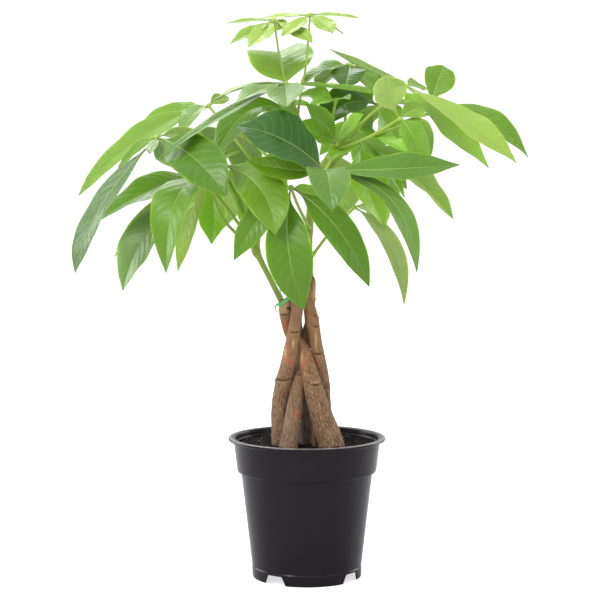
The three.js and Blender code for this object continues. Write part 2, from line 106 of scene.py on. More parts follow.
# The trunks, from the root up: [across, up, depth, radius]
TRUNKS = [
    [[-22, 92, -10, 9.5], [-24, 123, -9, 9.3], [-24.5, 168, -7, 8.6], [-22, 186, -9, 7.8],
     [-17, 206, -12, 6.9], [-14.5, 221, -14, 6.3], [-11.8, 237, -13, 5.7], [-9.1, 256, -11, 5.5],
     [-7, 268, -9, 4.2]],
    [[-20, 92, -29, 8.8], [-17, 123, -26, 8.7], [-11, 165, -18, 7.2], [-7.5, 186, -9, 6.3], [-5, 206, 1, 5.6],
     [-1.8, 223, 8, 5.9], [3, 245, 13, 4.5], [4, 268, 14, 4], [5, 286, 14, 3.4]],
    [[27, 92, -20, 12.4], [24, 123, -19, 12.2], [15, 150, -18, 10.8], [7, 177, -17, 9.2],
     [0.6, 201, -11, 7.5], [-4.4, 217, -3, 6.5], [-14.8, 231, -1, 5.9], [-19.4, 245, -4, 5.5],
     [-21, 265, -7, 5.6]],
    [[10, 92, 12, 9], [13, 123, 11, 8.9], [15, 160, 5, 7.9], [14.5, 185, 1, 7.1], [10.7, 211, -1, 6.3],
     [8.2, 224, -2, 6.1], [4.1, 248, -3, 6.6], [0.6, 266, -4, 4.9], [-2, 281, -4, 4]],
    [[3, 92, 32, 10.2], [1, 123, 29, 10], [-3, 165, 20, 8.2], [-6, 195, 15, 7], [-9, 225, 11, 6],
     [-11, 252, 9, 5.2], [-10, 278, 9, 4]],
]

# What the bark shows from the front, trunk by trunk: what it is, across, up, half its width and height. Then
# how grey each trunk has weathered.
BARK_MARKS = [
    [("crack", -12, 232.5, 5, 0.8), ("crack", -22.8, 187, 8.5, 0.9), ("pale", -20.4, 213, 1.6, 5),
     ("blush", -18.2, 214, 1.8, 6), ("blush", -16.5, 204.5, 5.5, 2.6), ("knob", -29.5, 188, 2, 1.8),
     ("pale", -13, 222, 1.4, 4), ("knob", -17, 205.5, 4.5, 1.6), ("blush", -19, 151, 2, 1.6)],
    [("blush", -8.5, 154.5, 3.4, 4), ("blush", -12.5, 155, 1, 1.6), ("knob", -9, 155, 2.6, 2.2),
     ("crack", -7, 192, 4, 0.6), ("pale", 6.4, 270, 2.6, 9), ("crack", 5, 286, 4, 2.6),
     ("knob", 8.2, 264, 1.2, 1.2), ("blush", -4, 186, 2.4, 3)],
    [("crack", 8, 182.6, 5.5, 1), ("knob", 7.5, 184.4, 5, 1.8), ("pale", 8, 184.6, 4, 1.1),
     ("pale", -4.8, 210, 1.5, 6.5), ("knob", -4.2, 211, 1.8, 5), ("pale", -1.6, 193, 1, 2),
     ("blush", -3.4, 203, 1.8, 6), ("crack", -17, 255.6, 2.4, 1.4), ("crack", -21.8, 249.2, 3.8, 0.7),
     ("knob", -22, 252, 4, 2.6), ("pale", -22, 257, 7, 7.5), ("knob", -15, 176, 3, 2),
     ("blush", -21, 241, 2, 5)],
    [("crack", 10.6, 212, 4.2, 1), ("crack", 8.6, 238, 3, 0.7), ("knob", 10.4, 247, 1.4, 1.4),
     ("pale", 8.6, 225, 1.2, 8), ("knob", 20, 184, 1.8, 1.4), ("crack", 7.6, 248.5, 2.4, 0.6),
     ("blush", 11, 205, 1.6, 2.4)],
    [("crack", -3, 190, 8, 0.8)],
]
WEATHERED = [0.15, 0.2, 0.1, 0.1, 1]
# How far knobs, lips and pale bark stand out and cracks sink in.
KNOB_HEIGHT = 0.9
LIP_SWELLING = 0.45
PALE_HEIGHT = 0.35
CRACK_DEPTH = 0.85
# A crack wider than this has a lip, which lies this far below it and is this wide. The lip is raised
# and painted pale, a painted highlight on its edge.
LIPPED_CRACK = 2.5
LIP_BELOW = 0.7
LIP_WIDTH = 0.8
# How far a mark rises towards its sides, as a share of its half width.
MARK_RISE = 0.2
# How many marks are drawn at random on each trunk, on any side.
HIDDEN_MARKS = 5
TRUNK_STEP = 1.2
TRUNK_SIDES = 72
TRUNK_ROUNDING = 4.5
CUT_TRUNKS = (3, 5)
CUT_ROUNDING = 3.2
# How far apart the wrinkles of two trunks, and of two limbs of a stem, start, so that none are alike.
TRUNK_SHIFT = 400
LIMB_SHIFT = 37

# The green stems, from the root up: name and [across, up, depth, radius]
STEMS = [
    ("shoot_left", [[-19, 252, -6, 2.8], [-25.4, 265, -8, 2.8], [-36, 286, -12, 2.6], [-44.6, 303, -16, 3],
                    [-48, 310, -16, 3.4], [-47, 322, -16, 2.8], [-46, 331, -16, 2]]),
    ("shoot_middle", [[-7, 258, -10, 3], [-7, 285, -6, 3.2], [-11, 320, -3, 3], [-19, 356, -3, 2.8],
                      [-21, 380, -4, 2.6], [-16, 410, -5, 2.4], [-10, 440, -6, 2]]),
    ("shoot_right", [[-2, 270, -4, 3], [1, 295, -2, 3.7], [2, 330, 0, 3.6], [4, 356, 2, 3.4],
                     [12, 384, 2, 3], [22, 400, 0, 2.7], [29, 410, -2, 2.4]]),
    ("shoot_back_left", [[-10, 268, 9, 3], [-8, 292, 16, 3.1], [-12, 322, 26, 3], [-19, 354, 36, 2.9],
                         [-27, 378, 44, 2.7], [-34, 400, 50, 2.4]]),
    ("shoot_back_right", [[5, 276, 14, 2.4], [2.5, 300, 22, 3], [3, 330, 33, 2.9], [7, 358, 42, 2.8],
                          [20, 386, 49, 2.6], [36, 405, 52, 2.3]]),
]

# The compound leaves: stem, joint on the stem, bow of the petiole, hub, the way the upper side faces, the
# tone from 0 for young and pale to 1 for old and dark, and the leaflets. A leaflet is its tip, its bow away
# from the straight line, its width, its roll in degrees, how much its outline is pulled to the hub, and where
# they differ its own tone and how much painted sheen lies on it, or, below zero, how much vivid green is
# painted on it. The sheen is a painted reflection of light at a grazing angle. The vivid green is mostly a
# painted glow of light through a shaded leaflet, and on a few leaflets a deeper green. The tones are partly
# the leaflets' age and partly painted light: they are set lighter where a leaflet lies in shade or shows a
# sheen.
LEAVES = [
    # low front
    ("shoot_right", [3, 330, 0], [-3, 4, -10], [-15, 370, -66], [0, -0.85, 0.5], 0.6, [
        (-2, 254, -74, -9, 0, -16, 42, 0, 1),
        (-69, 301, -74, -2, 6, -8, 27, 0, 1, 0.55),
        (59, 276, -72, 6, 9, -10, 31, 0, 1, 0.7),
        (-38, 375, -56, 0, 0, 0, 11, 0, 1, 0.1, -0.4),
        (12, 363, -56, 0, 0, 0, 14, 0, 1, 0.1, -0.4),
    ]),
    # front, the large dark one
    ("shoot_right", [20, 398, 0], [4, 4, -10], [16, 385, -80], [0.1, -0.7, 0.7], 0.6, [
        (-66, 427, -88, 4, 8, -14, 60, 0, 1.25, 1),
        (-57, 395, -96, 0, -3, 0, 21, -30, 1, 0.45),
        (24, 347, -148, 0, 14, -12, 39, 0, 1, 0.66, 0.15),
        (104, 289, -112, 19, 21, -6, 21, 0, 1, 0.62, 0.2),
        (144, 391, -96, 0, -1, -8, 32, 0, 1, 0.75),
    ]),
    # left front
    ("shoot_left", [-48, 322, -16], [2, 4, -6], [-83, 393, -62], [-0.1, -0.65, 0.75], 0.4, [
        (-30, 325, -96, 12, 10, -6, 44, 0, 1, 0.42),
        (-52, 330, -22, 2, 2, 0, 29, 0, 1, 0.05, -0.6),
        (-62, 404, -44, 0, 3, 0, 12, 0, 1),
    ]),
    # left, glossy
    ("shoot_left", [-47, 312, -16], [2, 6, -6], [-141, 417, -48], [-0.3, -0.6, 0.75], 0.6, [
        (-76, 362, -104, 2, 8, -6, 47, 0, 1, 0.75),
        (-92, 411, -10, 0, 6, 0, 14, 60, 1, 0.2, 0.4),
        (-179, 384, -50, 0, 5, 0, 14, 0, 1),
        (-219, 289, -80, -14.5, -2.5, -6, 28, 0, 1, 0.8, 0.5),
        (-148, 401, -72, 0, 0, 0, 12, 0, 1, 0.4, 0.6),
        (-110, 386, -58, -5, 0, 0, 26, 0, 1, 0.3, 0.8),
    ]),
    # left, hanging
    ("shoot_left", [-47, 309, -16], [-8, -6, -2], [-94, 383, -4], [-0.4, -0.65, 0.65], 0.5, [
        (-203, 334, -20, 0, 8, -4, 44, 12, 1, 0.6),
        (-133, 289, -80, -10, 21, -38, 46, 0, 1, 0.55),
        (-122, 290, -30, 0, 8, -6, 24, 0, 1, 0.2),
        (-90, 316, 2, 4, 3, 4, 34, 0, 1, 0.05, -0.7),
        (-182, 303, 10, -8, 4, 4, 20, 0, 1, 0.3),
        (-174, 272, -16, -14, 4, -6, 42, 0, 0.78, 0.5, 0.4),
    ]),
    # upper left, light green
    ("shoot_middle", [-19, 352, -3], [-4, 6, 0], [-92, 446, 16], [-0.35, -0.6, 0.7], 0.3, [
        (-215, 362, -6, -4, 11, -6, 36, 0, 1, 0.34),
        (-119, 421, -8, 0, 6, 0, 24, 0, 1, 0.36, 0.4),
        (-73, 454, 48, 0, 2, 0, 14, 40, 1),
        (-165, 420, 76, 0, 5, 6, 28, 0, 1, 0.4),
    ]),
    # top of the middle stem
    ("shoot_middle", [-10, 437, -6], [2, 0, 0], [-20, 467, -12], [-0.1, -0.35, 0.93], 0.4, [
        (-27, 492, 84, -1.5, 14, -14, 63, 0, 1.6, 0.22),
        (75, 455, -22, 0, 2, 0, 30, -24, 1, 0.15, -0.5),
        (-94, 447, 2, 0, 7, 0, 18, 10, 1, 0.25, 0.7),
        (-66, 449, -64, 0, 3, 0, 26, 0, 1, 0.42, 0.5),
        (-19, 445, -96, 0, 3, 0, 36, 0, 1, 0.6, 0.3),
        (-142, 395, -92, 0, 5, -6, 15, 0, 1, 0.82),
    ]),
    # the leaf at the fork of the middle stem
    ("shoot_middle", [-11, 428, -6], [0, 0, 0], [-12, 437, 6], [-0.1, -0.3, 0.9], 0.5, [
        (-88, 394, -30, -4, 26, 0, 32, -20, 1, 0.65),
        (-40, 434, -44, 0, 2, 0, 14, 0, 1),
    ]),
    # young leaves at the very top
    ("shoot_middle", [-10, 438, -6], [-3, 0, 0], [-31, 526, -12], [0, -0.5, 0.85], 0.17, [
        (-75, 523, -6, 0, 1, 0, 8, 0, 1),
        (-72, 504, -40, 0, 0, 0, 16, 0, 1, 0.22),
        (-55, 501, -52, 1, -1, 0, 20, 0, 1),
        (5, 505, -46, 2, 0, 0, 18, 0, 1),
        (-24, 517, 44, 0, 2, 0, 18, 0, 1, 0.1),
    ]),
    ("shoot_middle", [-9, 438, -6], [2, 0, 0], [3, 531, -10], [0, -0.5, 0.85], 0.12, [
        (49, 528, -10, 0, 1, 0, 8, 0, 1),
        (24, 514, -44, 1, 0, 0, 22, 0, 1),
        (34, 513, 18, 2, 0, 0, 12, 0, 1),
        (-24, 511, -46, 0, -1, 0, 16, 0, 1),
        (-38, 513, 14, 0, -1, 0, 14, 0, 1, 0.05),
        (-42, 528, 20, 0, 0, 0, 12, 0, 1),
    ]),
    # right, bright
    ("shoot_right", [28, 408, -2], [0, 2, -2], [93, 465, -12], [0.3, -0.6, 0.75], 0.2, [
        (21, 499, -6, 0, -1, 0, 13, 66, 1.3, 0.0, 0.5),
        (197, 393, -64, 2, 3, -6, 36, 0, 1, 0.17),
        (171, 388, -30, -1, 3, 0, 36, 0, 1, 0.1, -0.4),
        (112, 463, 30, 0, 1, 0, 18, 0, 1, 0.33),
    ]),
    # right, the outermost
    ("shoot_right", [28, 409, -1], [4, -2, 4], [110, 438, 18], [0.3, -0.6, 0.75], 0.5, [
        (208, 398, 10, 4, 17, -4, 34, 0, 1, 0.5),
        (195, 398, 30, -1, 10, 0, 30, 0, 1),
        (127, 484, 62, 2, 1, 0, 32, 0, 0.56, 0.42),
        (150, 427, 84, 0, 8, 4, 26, 0, 1),
        (92, 459, 30, 0, 0, 0, 22, 0, 1, 0.1, -0.5),
    ]),
    # right, below the bright one
    ("shoot_right", [25, 404, -1], [2, -2, -8], [87, 434, -56], [0.2, -0.75, 0.6], 0.3, [
        (74, 475, -62, -3, 0, 0, 38, 0, 0.72, 0.14, 0.2),
        (116, 398, -52, 3, 6, 0, 26, 0, 1),
        (112, 446, -40, 0, 2, 0, 18, 0, 1),
        (110, 384, -62, 1, 8, -4, 28, 0, 1, 0.5, -0.2),
    ]),
    # right, behind the large dark one
    ("shoot_right", [26, 405, 0], [0, 2, 4], [51, 414, 20], [0.2, -0.4, 0.9], 0.15, [
        (75, 331, 12, -8, 4, 6, 48, 0, 1, 0.08, -0.5),
        (138, 340, 10, 2, 7, 0, 52, 0, 1, 0.3, -0.05),
        (92, 360, 16, 3, 2, 0, 18, 0, 1, 0.05, -0.8),
        (94, 402, -22, 0, 6, 0, 28, 0, 1, 0.25, -0.9),
        (20, 394, -24, 0, 4, 0, 20, 0, 1, 0.0, -0.7),
    ]),
    # right, low, seen from below
    ("shoot_right", [4, 304, -1], [-1, 2, 0], [45, 351, 16], [0.3, 0.8, 0.3], 0.3, [
        (92, 258, 14, 12, 9, 0, 19, 0, 1.2, 0.1),
        (24, 374, 16, 0, 0, 0, 16, 0, 1, 0.0, -0.3),
        (70, 330, 80, 4, 10, 0, 30, 0, 1, 0.1, -0.3),
    ]),
    # young leaf at the fork of the right stem
    ("shoot_right", [28, 409, -2], [0, 0, 0], [28, 410, -10], [-0.2, -0.7, 0.6], 0.33, [
        (-1, 448, -22, 2, 2, -2, 20, 0, 1, 0.5, -0.15),
        (-9, 429, -42, 0, 0, -2, 30, 0, 1, 0.5, -0.1),
        (53, 438, -30, 0, 3, 0, 18, 0, 1, 0.25, -0.5),
    ]),
    # small leaf behind it
    ("shoot_right", [27, 408, 2], [-3, 0, 2], [27, 451, 14], [0, -0.5, 0.85], 0.3, [
        (2, 444, -14, 0, 3, 0, 14, 0, 1, 0.15, -0.9),
        (-8, 455, 20, 0, 3, 0, 26, 0, 1, 0.3, -0.6),
        (40, 452, -14, 0, 2, 0, 14, 0, 1, 0.3, -0.7),
    ]),
    # behind, dark
    ("shoot_back_right", [24, 391, 50], [2, 4, -2], [66, 447, 44], [0, -0.6, 0.8], 0.5, [
        (12, 425, 22, -2, 12, 0, 44, 0, 1, 0.85, -0.12),
        (87, 413, 56, -4, 4, 0, 46, 0, 1, 0.36, -0.36),
        (60, 415, 96, 0, 8, 6, 42, 0, 1, 0.4, -0.3),
        (22, 448, 92, 0, 8, 4, 32, 0, 1),
        (100, 442, 100, 0, 6, 4, 32, 0, 1),
    ]),
    # behind, the peaked one
    ("shoot_back_right", [36, 404, 52], [-2, 4, 0], [41, 484, 40], [0, -0.3, 0.9], 0.55, [
        (-6, 466, 34, 0, 5, 0, 32, 0, 1, 0.42),
        (36, 462, 4, 0, 2, 0, 34, 0, 1, 0.75),
        (77, 452, 24, 1, -1, 0, 25, 0, 1, 0.6, -0.18),
        (62, 456, 108, 0, 6, 6, 34, 0, 1),
        (10, 458, 104, 0, 8, 6, 34, 0, 1),
    ]),
    # the back of the crown
    ("shoot_back_left", [-33, 395, 49], [-2, 4, 4], [-64, 420, 76], [-0.3, 0.5, 0.8], 0.45, [
        (-82, 421, 32, 2, 1, 0, 18, 0, 1),
        (-118, 396, 86, 0, 6, 4, 34, 0, 1, 0.5),
        (-102, 372, 132, 0, 12, 6, 36, 0, 1, 0.6),
        (-52, 364, 148, 0, 14, 6, 38, 0, 1),
        (-14, 398, 122, 0, 8, 4, 32, 0, 1, 0.35),
    ]),
    ("shoot_back_left", [-24, 370, 41], [0, 2, 6], [-52, 376, 78], [-0.1, 0.7, 0.7], 0.4, [
        (-104, 352, 98, 0, 8, 4, 28, 0, 1),
        (-80, 330, 134, 0, 10, 8, 34, 0, 1, 0.0, -0.24),
        (-32, 340, 132, 0, 10, 8, 32, 0, 1),
    ]),
    ("shoot_back_left", [-34, 400, 50], [0, 3, 4], [-38, 440, 70], [0, 0.3, 0.95], 0.5, [
        (-78, 432, 88, 0, 5, 0, 28, 0, 1),
        (-64, 426, 134, 0, 10, 4, 34, 0, 1, 0.65),
        (-16, 424, 142, 0, 10, 4, 34, 0, 1),
        (4, 446, 84, 0, 4, 0, 24, 0, 1, 0.0, -0.6),
    ]),
    ("shoot_back_right", [12, 371, 46], [2, 3, 6], [50, 388, 80], [0.3, 0.6, 0.75], 0.4, [
        (94, 368, 92, 2, 8, 4, 32, 0, 1),
        (82, 342, 132, 2, 12, 8, 36, 0, 1, 0.5, -0.12),
        (32, 340, 142, 0, 12, 8, 36, 0, 1, 0.3, -0.24),
        (6, 372, 108, 0, 8, 4, 28, 0, 1, 0.2, -0.18),
    ]),
    ("shoot_back_right", [36, 402, 52], [2, 2, 4], [62, 418, 92], [0.2, 0.5, 0.85], 0.45, [
        (108, 408, 96, 0, 6, 4, 32, 0, 1),
        (104, 386, 140, 0, 12, 6, 36, 0, 1, 0.6),
        (52, 376, 150, 0, 14, 6, 38, 0, 1, 0.1, -0.36),
        (12, 400, 128, 0, 10, 4, 32, 0, 1, 0.1, -0.48),
    ]),
]
PETIOLE_RADIUS = [1.6, 1.2]
PETIOLE_STEP = 2.4
PETIOLE_SWELLING = 0.55
# A leaf whose tone is under the first number is young, and its petiole is thinner by the second.
YOUNG_TONE = 0.2
YOUNG_PETIOLE = 0.7
TONE_SPREAD = 0.07
HUB_SWELLING = 2.5
# How far past the hub its small end cap goes, and its radius there.
HUB_END = [(0.9, 2.2), (1.7, 1.5), (2.1, 0.5)]
KNOT_SWELLING = 0.7
CORK_RUN = 28
STEM_STEP = 2
STEM_SIDES = 16
STEM_ROUNDING = 3

# The blade of a leaflet
BLADE_FOLD = 0.22
BLADE_WAVE = 0.06
BLADE_WAVES = 9
BLADE_RIPPLE = 0.014
BLADE_QUILT = 0.0022
BLADE_GROOVE = 0.22
BLADE_KEEL = 0.75
BLADE_STALK = 1.7
BLADE_OUTLINE = [
    (0, 0.03), (0.06, 0.035), (0.11, 0.07), (0.16, 0.24), (0.22, 0.5), (0.3, 0.76), (0.42, 0.95), (0.54, 1),
    (0.66, 0.94), (0.78, 0.74), (0.87, 0.48), (0.94, 0.23), (0.98, 0.09), (1, 0.02),
]
BLADE_STATIONS = 32
BLADE_COLUMNS = [0, 0.05, 0.15, 0.36, 0.62, 0.86, 1]

# The green tie round the top of the third trunk, its loose end and its loop
TIE_AT = [-21.2, 262.4, -6.6]
TIE_RADIUS = 6.6
TIE_HEIGHT = 3.4
TIE_THICKNESS = 0.8
TIE_LEAN = 37
TIE_SIDES = 90
TIE_STEP = 0.5
TIE_CREASE = 50
TIE_END = [[-27, 260, -12], [-30, 257.5, -12], [-29, 253, -11], [-26, 248.5, -11]]
# Each strip is narrower than the width that is set, and turns from one angle to another.
TIE_END_SHARE, TIE_END_TWIST = 0.65, (0.3, 1.6)
TIE_LOOP_SHARE, TIE_LOOP_TWIST = 0.5, (0.2, 3.4)
TIE_LOOP = [[-23, 266, -13], [-25.2, 271, -14], [-25, 275, -14], [-22.8, 277, -14], [-25, 278, -12],
            [-27.6, 278.6, -8], [-30, 280, -3], [-28.5, 272, -2], [-24.5, 264, -2]]

# Where the finishes change, in metres up from the floor or out from the axis
# The band round the top of the rim where a pale highlight is painted.
RIM_HIGHLIGHT_FROM = (0.1324, 0.1334)
RIM_HIGHLIGHT_OUT_FROM = (0.0708, 0.0726)
BARK_REDDENS = (0.155, 0.245)
BARK_SMOOTHS = (0.225, 0.175)
BARK_EVENS = (0.235, 0.18)

# Colours that go over or into those that a user may change
AGED_BARK = (0.440, 0.375, 0.315, 1)
# Painted shade in the hollows of the bark's wrinkles.
GROOVE_SHADE = (0.060, 0.032, 0.017, 1)
# Painted highlights on the bark's raised grain.
RIDGE_HIGHLIGHT = (0.70, 0.44, 0.25, 1)
PALE_BARK = (0.60, 0.38, 0.18, 1)
STEM_STREAK = (0.10, 0.125, 0.020, 1)
STEM_CORK = (0.25, 0.165, 0.075, 1)
LEAF_VEIN = (0.50, 0.66, 0.20, 1)
LEAF_RIB = (0.36, 0.52, 0.13, 1)
LEAF_UNDERSIDE = (0.42, 0.50, 0.25, 1)
# A painted sheen: the pale reflection on leaflets seen at a grazing angle.
PAINTED_SHEEN = (0.36, 0.45, 0.31, 1)
# Vivid green, painted on mostly as the glow of light through shaded leaflets.
VIVID_LEAF = (0.30, 0.62, 0.03, 1)
STRETCHED_TAPE = (0.28, 0.66, 0.32, 1)

# The stage, in metres, but for the camera's sensor in millimetres. A soft light is its name, place, size, and
# power as a share of the main light's.
LIGHTS = [
    ("key_light", (-1.3, -1.5, 1.5), 0.8, 1),
    ("fill_light", (1.8, -1.2, 0.9), 1.2, 0.35),
    ("left_edge_light", (-1.7, 0.9, 0.5), 1.2, 0.7),
    ("right_edge_light", (1.7, 1.1, 0.5), 1.0, 0.45),
    ("back_light", (-0.5, 1.5, 1.9), 1.0, 0.6),
]
LIGHTS_AIM = (0, 0, 0.3)
FLOOR_RINGS = (0.5, 2, 9)
FLOOR_SIDES = 128
FLOOR_DROP = 0.0004
FLOOR_GLOW = 1.1
WORLD_LIGHT = 0.72
WORLD_SEEN = 1.1
SUN_POWER = 1.0
SUN_SPREAD = 1.5
SUN_TURN = (0.25, -0.2, 0)
SENSOR_WIDTH = 36
VIEW_RANGE = (0.05, 60)


def tint(name, description, default):
    """A colour that a user may change."""
    return FloatVectorProperty(
        name=name, description=description, subtype="COLOR", default=default, min=0, max=1)


class PotSettings(bpy.types.PropertyGroup):
    """What a user may change about the pot."""

    sides: IntProperty(name="Sides", description="Flat sides round the pot", default=168, min=32, max=256)
    plastic: tint("Plastic", "Colour of the plastic", (0.0062, 0.0038, 0.0090))
    scuffed: tint("Scuffed", "Colour of the plastic where it is rubbed", (0.022, 0.019, 0.024))
    # The rim's paler colour is a painted highlight along its lip.
    rim_highlight: tint("Rim Highlight", "Colour of the rim, paler from wear", (0.330, 0.318, 0.320))
    roughness: FloatProperty(name="Roughness", description="How dull the plastic is", default=0.2, min=0,
                             max=1, subtype="FACTOR")


class SoilSettings(bpy.types.PropertyGroup):
    """What a user may change about the soil."""

    crumb: FloatProperty(name="Crumb", description="Size of a common crumb", default=0.0011, min=0.0002,
                         max=0.004, unit="LENGTH")
    spacing: FloatProperty(name="Spacing", description="Least distance between crumbs", default=0.0019,
                           min=0.001, max=0.01, unit="LENGTH")
    earth: tint("Earth", "Colour of the damp soil", (0.0075, 0.0060, 0.0048))
    chip: tint("Chip", "Colour of the bark chips", (0.036, 0.027, 0.017))
    grit: tint("Grit", "Colour of the pale grit", (0.30, 0.27, 0.22))


class BarkSettings(bpy.types.PropertyGroup):
    """What a user may change about the trunks."""

    wrinkle: FloatProperty(name="Wrinkle Depth", description="Depth of the long wrinkles", default=0.0011,
                           min=0, max=0.003, unit="LENGTH")
    low: tint("Low Bark", "Colour near the soil", (0.228, 0.122, 0.060))
    high: tint("High Bark", "Colour near the top", (0.250, 0.112, 0.037))
    # A scar's dark colour is painted shade in its sunken hollow.
    crack: tint("Crack", "Colour inside a scar", (0.030, 0.016, 0.009))
    blush: tint("Blush", "Colour of the young bark that shows through", (0.52, 0.125, 0.055))


class LeafSettings(bpy.types.PropertyGroup):
    """What a user may change about the leaves and their stems."""

    thickness: FloatProperty(name="Thickness", description="Thickness of a blade", default=0.0005, min=0.0002,
                             max=0.001, unit="LENGTH")
    vein_pairs: IntProperty(name="Vein Pairs", description="Side veins on each half of a leaflet", default=11,
                            min=4, max=20)
    young: tint("Young Leaf", "Colour of a young leaf", (0.355, 0.515, 0.080))
    grown: tint("Grown Leaf", "Colour of a grown leaf", (0.130, 0.290, 0.008))
    old: tint("Old Leaf", "Colour of an old leaf", (0.022, 0.106, 0.001))
    stem: tint("Stem", "Colour of a green stem", (0.220, 0.340, 0.040))
    petiole: tint("Petiole", "Colour of a leaf's own stem", (0.420, 0.600, 0.090))


class TieSettings(bpy.types.PropertyGroup):
    """What a user may change about the tie."""

    tape: tint("Tape", "Colour of the tape", (0.125, 0.480, 0.145))
    width: FloatProperty(name="End Width", description="Width of the loose end", default=0.0026, min=0.001,
                         max=0.006, unit="LENGTH")


class StageSettings(bpy.types.PropertyGroup):
    """What a user may change about the studio."""

    floor: tint("Floor", "Colour of the floor", (0.62, 0.62, 0.62))
    lens: FloatProperty(name="Lens", description="Focal length", default=0.10176, min=0.02, max=0.3,
                        unit="LENGTH")
    key: FloatProperty(name="Key Light", description="Power of the main light", default=24, min=0,
                       unit="POWER")


class MoneyTreeSettings(bpy.types.PropertyGroup):
    """All the settings of the plant and its stage."""

    pot: PointerProperty(type=PotSettings)
    soil: PointerProperty(type=SoilSettings)
    bark: PointerProperty(type=BarkSettings)
    leaf: PointerProperty(type=LeafSettings)
    tie: PointerProperty(type=TieSettings)
    stage: PointerProperty(type=StageSettings)


# Places and curves

def place(point):
    """A place as seen from the front, turned into X, Y and Z, in millimetres."""
    across, up, depth = point[:3]
    scale = 1 + depth / EYE_DISTANCE
    return np.array([EYE_ACROSS + (across - EYE_ACROSS) * scale, depth, EYE_UP + (up - EYE_UP) * scale])


def seen(points):
    """Across and up of points in millimetres, as they're seen from the front."""
    scale = 1 + points[:, 1] / EYE_DISTANCE
    return EYE_ACROSS + (points[:, 0] - EYE_ACROSS) / scale, EYE_UP + (points[:, 2] - EYE_UP) / scale


def unit(vectors):
    return vectors / np.maximum(np.linalg.norm(vectors, axis=-1, keepdims=True), 1e-9)


def circle(count):
    """Angles round a full turn."""
    return np.linspace(0, 2 * np.pi, count, endpoint=False)


def bell(distance, width, power=2):
    """1 at no distance and nearly nothing past twice the width; a higher power falls more sharply."""
    return np.exp(-((distance / width) ** power))


def bowed(start, control, end, share):
    """Places on a curve between two ends that is drawn towards a third place."""
    return (1 - share) ** 2 * start + 2 * share * (1 - share) * control + share**2 * end


def through(points, count):
    """Points along a smooth curve through some points, whose first three columns are a place."""
    points = np.array(points, float)
    ends = [2 * points[0] - points[1], *points, 2 * points[-1] - points[-2]]
    curve = []
    for share in np.linspace(0, len(points) - 1, count):
        leg = min(int(share), len(points) - 2)
        t = share - leg
        a, b, c, d = ends[leg:leg + 4]
        legs = ((a, b), (b, c), (c, d))
        before, middle, after = (math.sqrt(np.linalg.norm((q - p)[:3])) or 1 for p, q in legs)
        start = ((b - a) / before - (c - a) / (before + middle) + (c - b) / middle) * middle
        end = ((c - b) / middle - (d - b) / (middle + after) + (d - c) / after) * middle
        bend, twist = 3 * (c - b) - 2 * start - end, 2 * (b - c) + start + end
        curve.append(b + start * t + bend * t**2 + twist * t**3)
    return np.array(curve)


def route(points, step):
    """A smooth line of places with their radii in the last column, a step apart."""
    placed = [[*place(p), p[3]] for p in points]
    rough = through(placed, 60)
    length = np.linalg.norm(np.diff(rough[:, :3], axis=0), axis=1).sum()
    fine = through(placed, max(8, int(length / step)) * 4)
    run = np.concatenate([[0], np.cumsum(np.linalg.norm(np.diff(fine[:, :3], axis=0), axis=1))])
    even = np.linspace(0, run[-1], max(8, int(run[-1] / step)))
    return np.stack([np.interp(even, run, fine[:, k]) for k in range(4)], 1), even


def rounded(line, run, reach):
    """A line whose radii close over both ends like the end of a finger."""
    for distance in (run, run[-1] - run):
        near = np.clip(distance / reach, 0, 1)
        line[:, 3] *= np.sqrt(np.clip(1 - (1 - near) ** 2, 0.02, 1))
    return line


def add_object(name, data):
    made = bpy.data.objects.new(name, data)
    bpy.context.scene.collection.objects.link(made)
    return made


def mesh_object(name, points, faces, edges=()):
    """An object at the origin with a smooth mesh of points in metres."""
    mesh = bpy.data.meshes.new(name)
    mesh.from_pydata([tuple(p) for p in points], list(edges), list(faces))
    mesh.shade_smooth()
    return add_object(name, mesh)


def merged(name, shapes):
    """One object of several shapes, each given as points in millimetres and faces."""
    points, faces = [], []
    for more, corners in shapes:
        faces += [[i + sum(map(len, points)) for i in face] for face in corners]
        points.append(more)
    return mesh_object(name, np.concatenate(points) * MM, faces)


def point_values(mesh, name, values, kind="FLOAT"):
    mesh.attributes.new(name, kind, "POINT").data.foreach_set("value", np.asarray(values).ravel())


def coordinates(mesh):
    flat = np.empty(len(mesh.vertices) * 3)
    mesh.vertices.foreach_get("co", flat)
    return flat.reshape(-1, 3)


def wear(piece, slot, *nodes):
    """The piece rides on the plant and stands for some nodes, which are hidden; its slot is not used."""
    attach(piece, "root")
    if nodes:
        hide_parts(*nodes)


def evaluated_mesh(made, name):
    """Puts in the mesh that an object's modifiers make, and takes the modifiers off."""
    bpy.context.view_layer.update()
    graph = bpy.context.evaluated_depsgraph_get()
    mesh = bpy.data.meshes.new_from_object(
        made.evaluated_get(graph), preserve_all_data_layers=True, depsgraph=graph)
    mesh.name = name
    made.modifiers.clear()
    made.data = mesh
    return mesh


# Nodes

def put(tree, kind, inputs=None, **settings):
    """A new node with its settings, and with its inputs linked or set."""
    made = tree.nodes.new(kind)
    for key, value in settings.items():
        setattr(made, key, value)
    for key, value in (inputs or {}).items():
        if isinstance(value, bpy.types.NodeSocket):
            tree.links.new(value, made.inputs[key])
        else:
            made.inputs[key].default_value = value
    return made


def calc(tree, operation, a, b=0.0, c=0.0):
    return put(tree, "ShaderNodeMath", {0: a, 1: b, 2: c}, operation=operation).outputs[0]


def times(tree, a, b):
    return calc(tree, "MULTIPLY", a, b)


def ease(tree, value, low, high, start=0.0, end=1.0):
    """Goes smoothly from start to end as a value goes from low to high."""
    inputs = {"Value": value, "From Min": low, "From Max": high, "To Min": start, "To Max": end}
    return put(tree, "ShaderNodeMapRange", inputs, interpolation_type="SMOOTHSTEP").outputs[0]


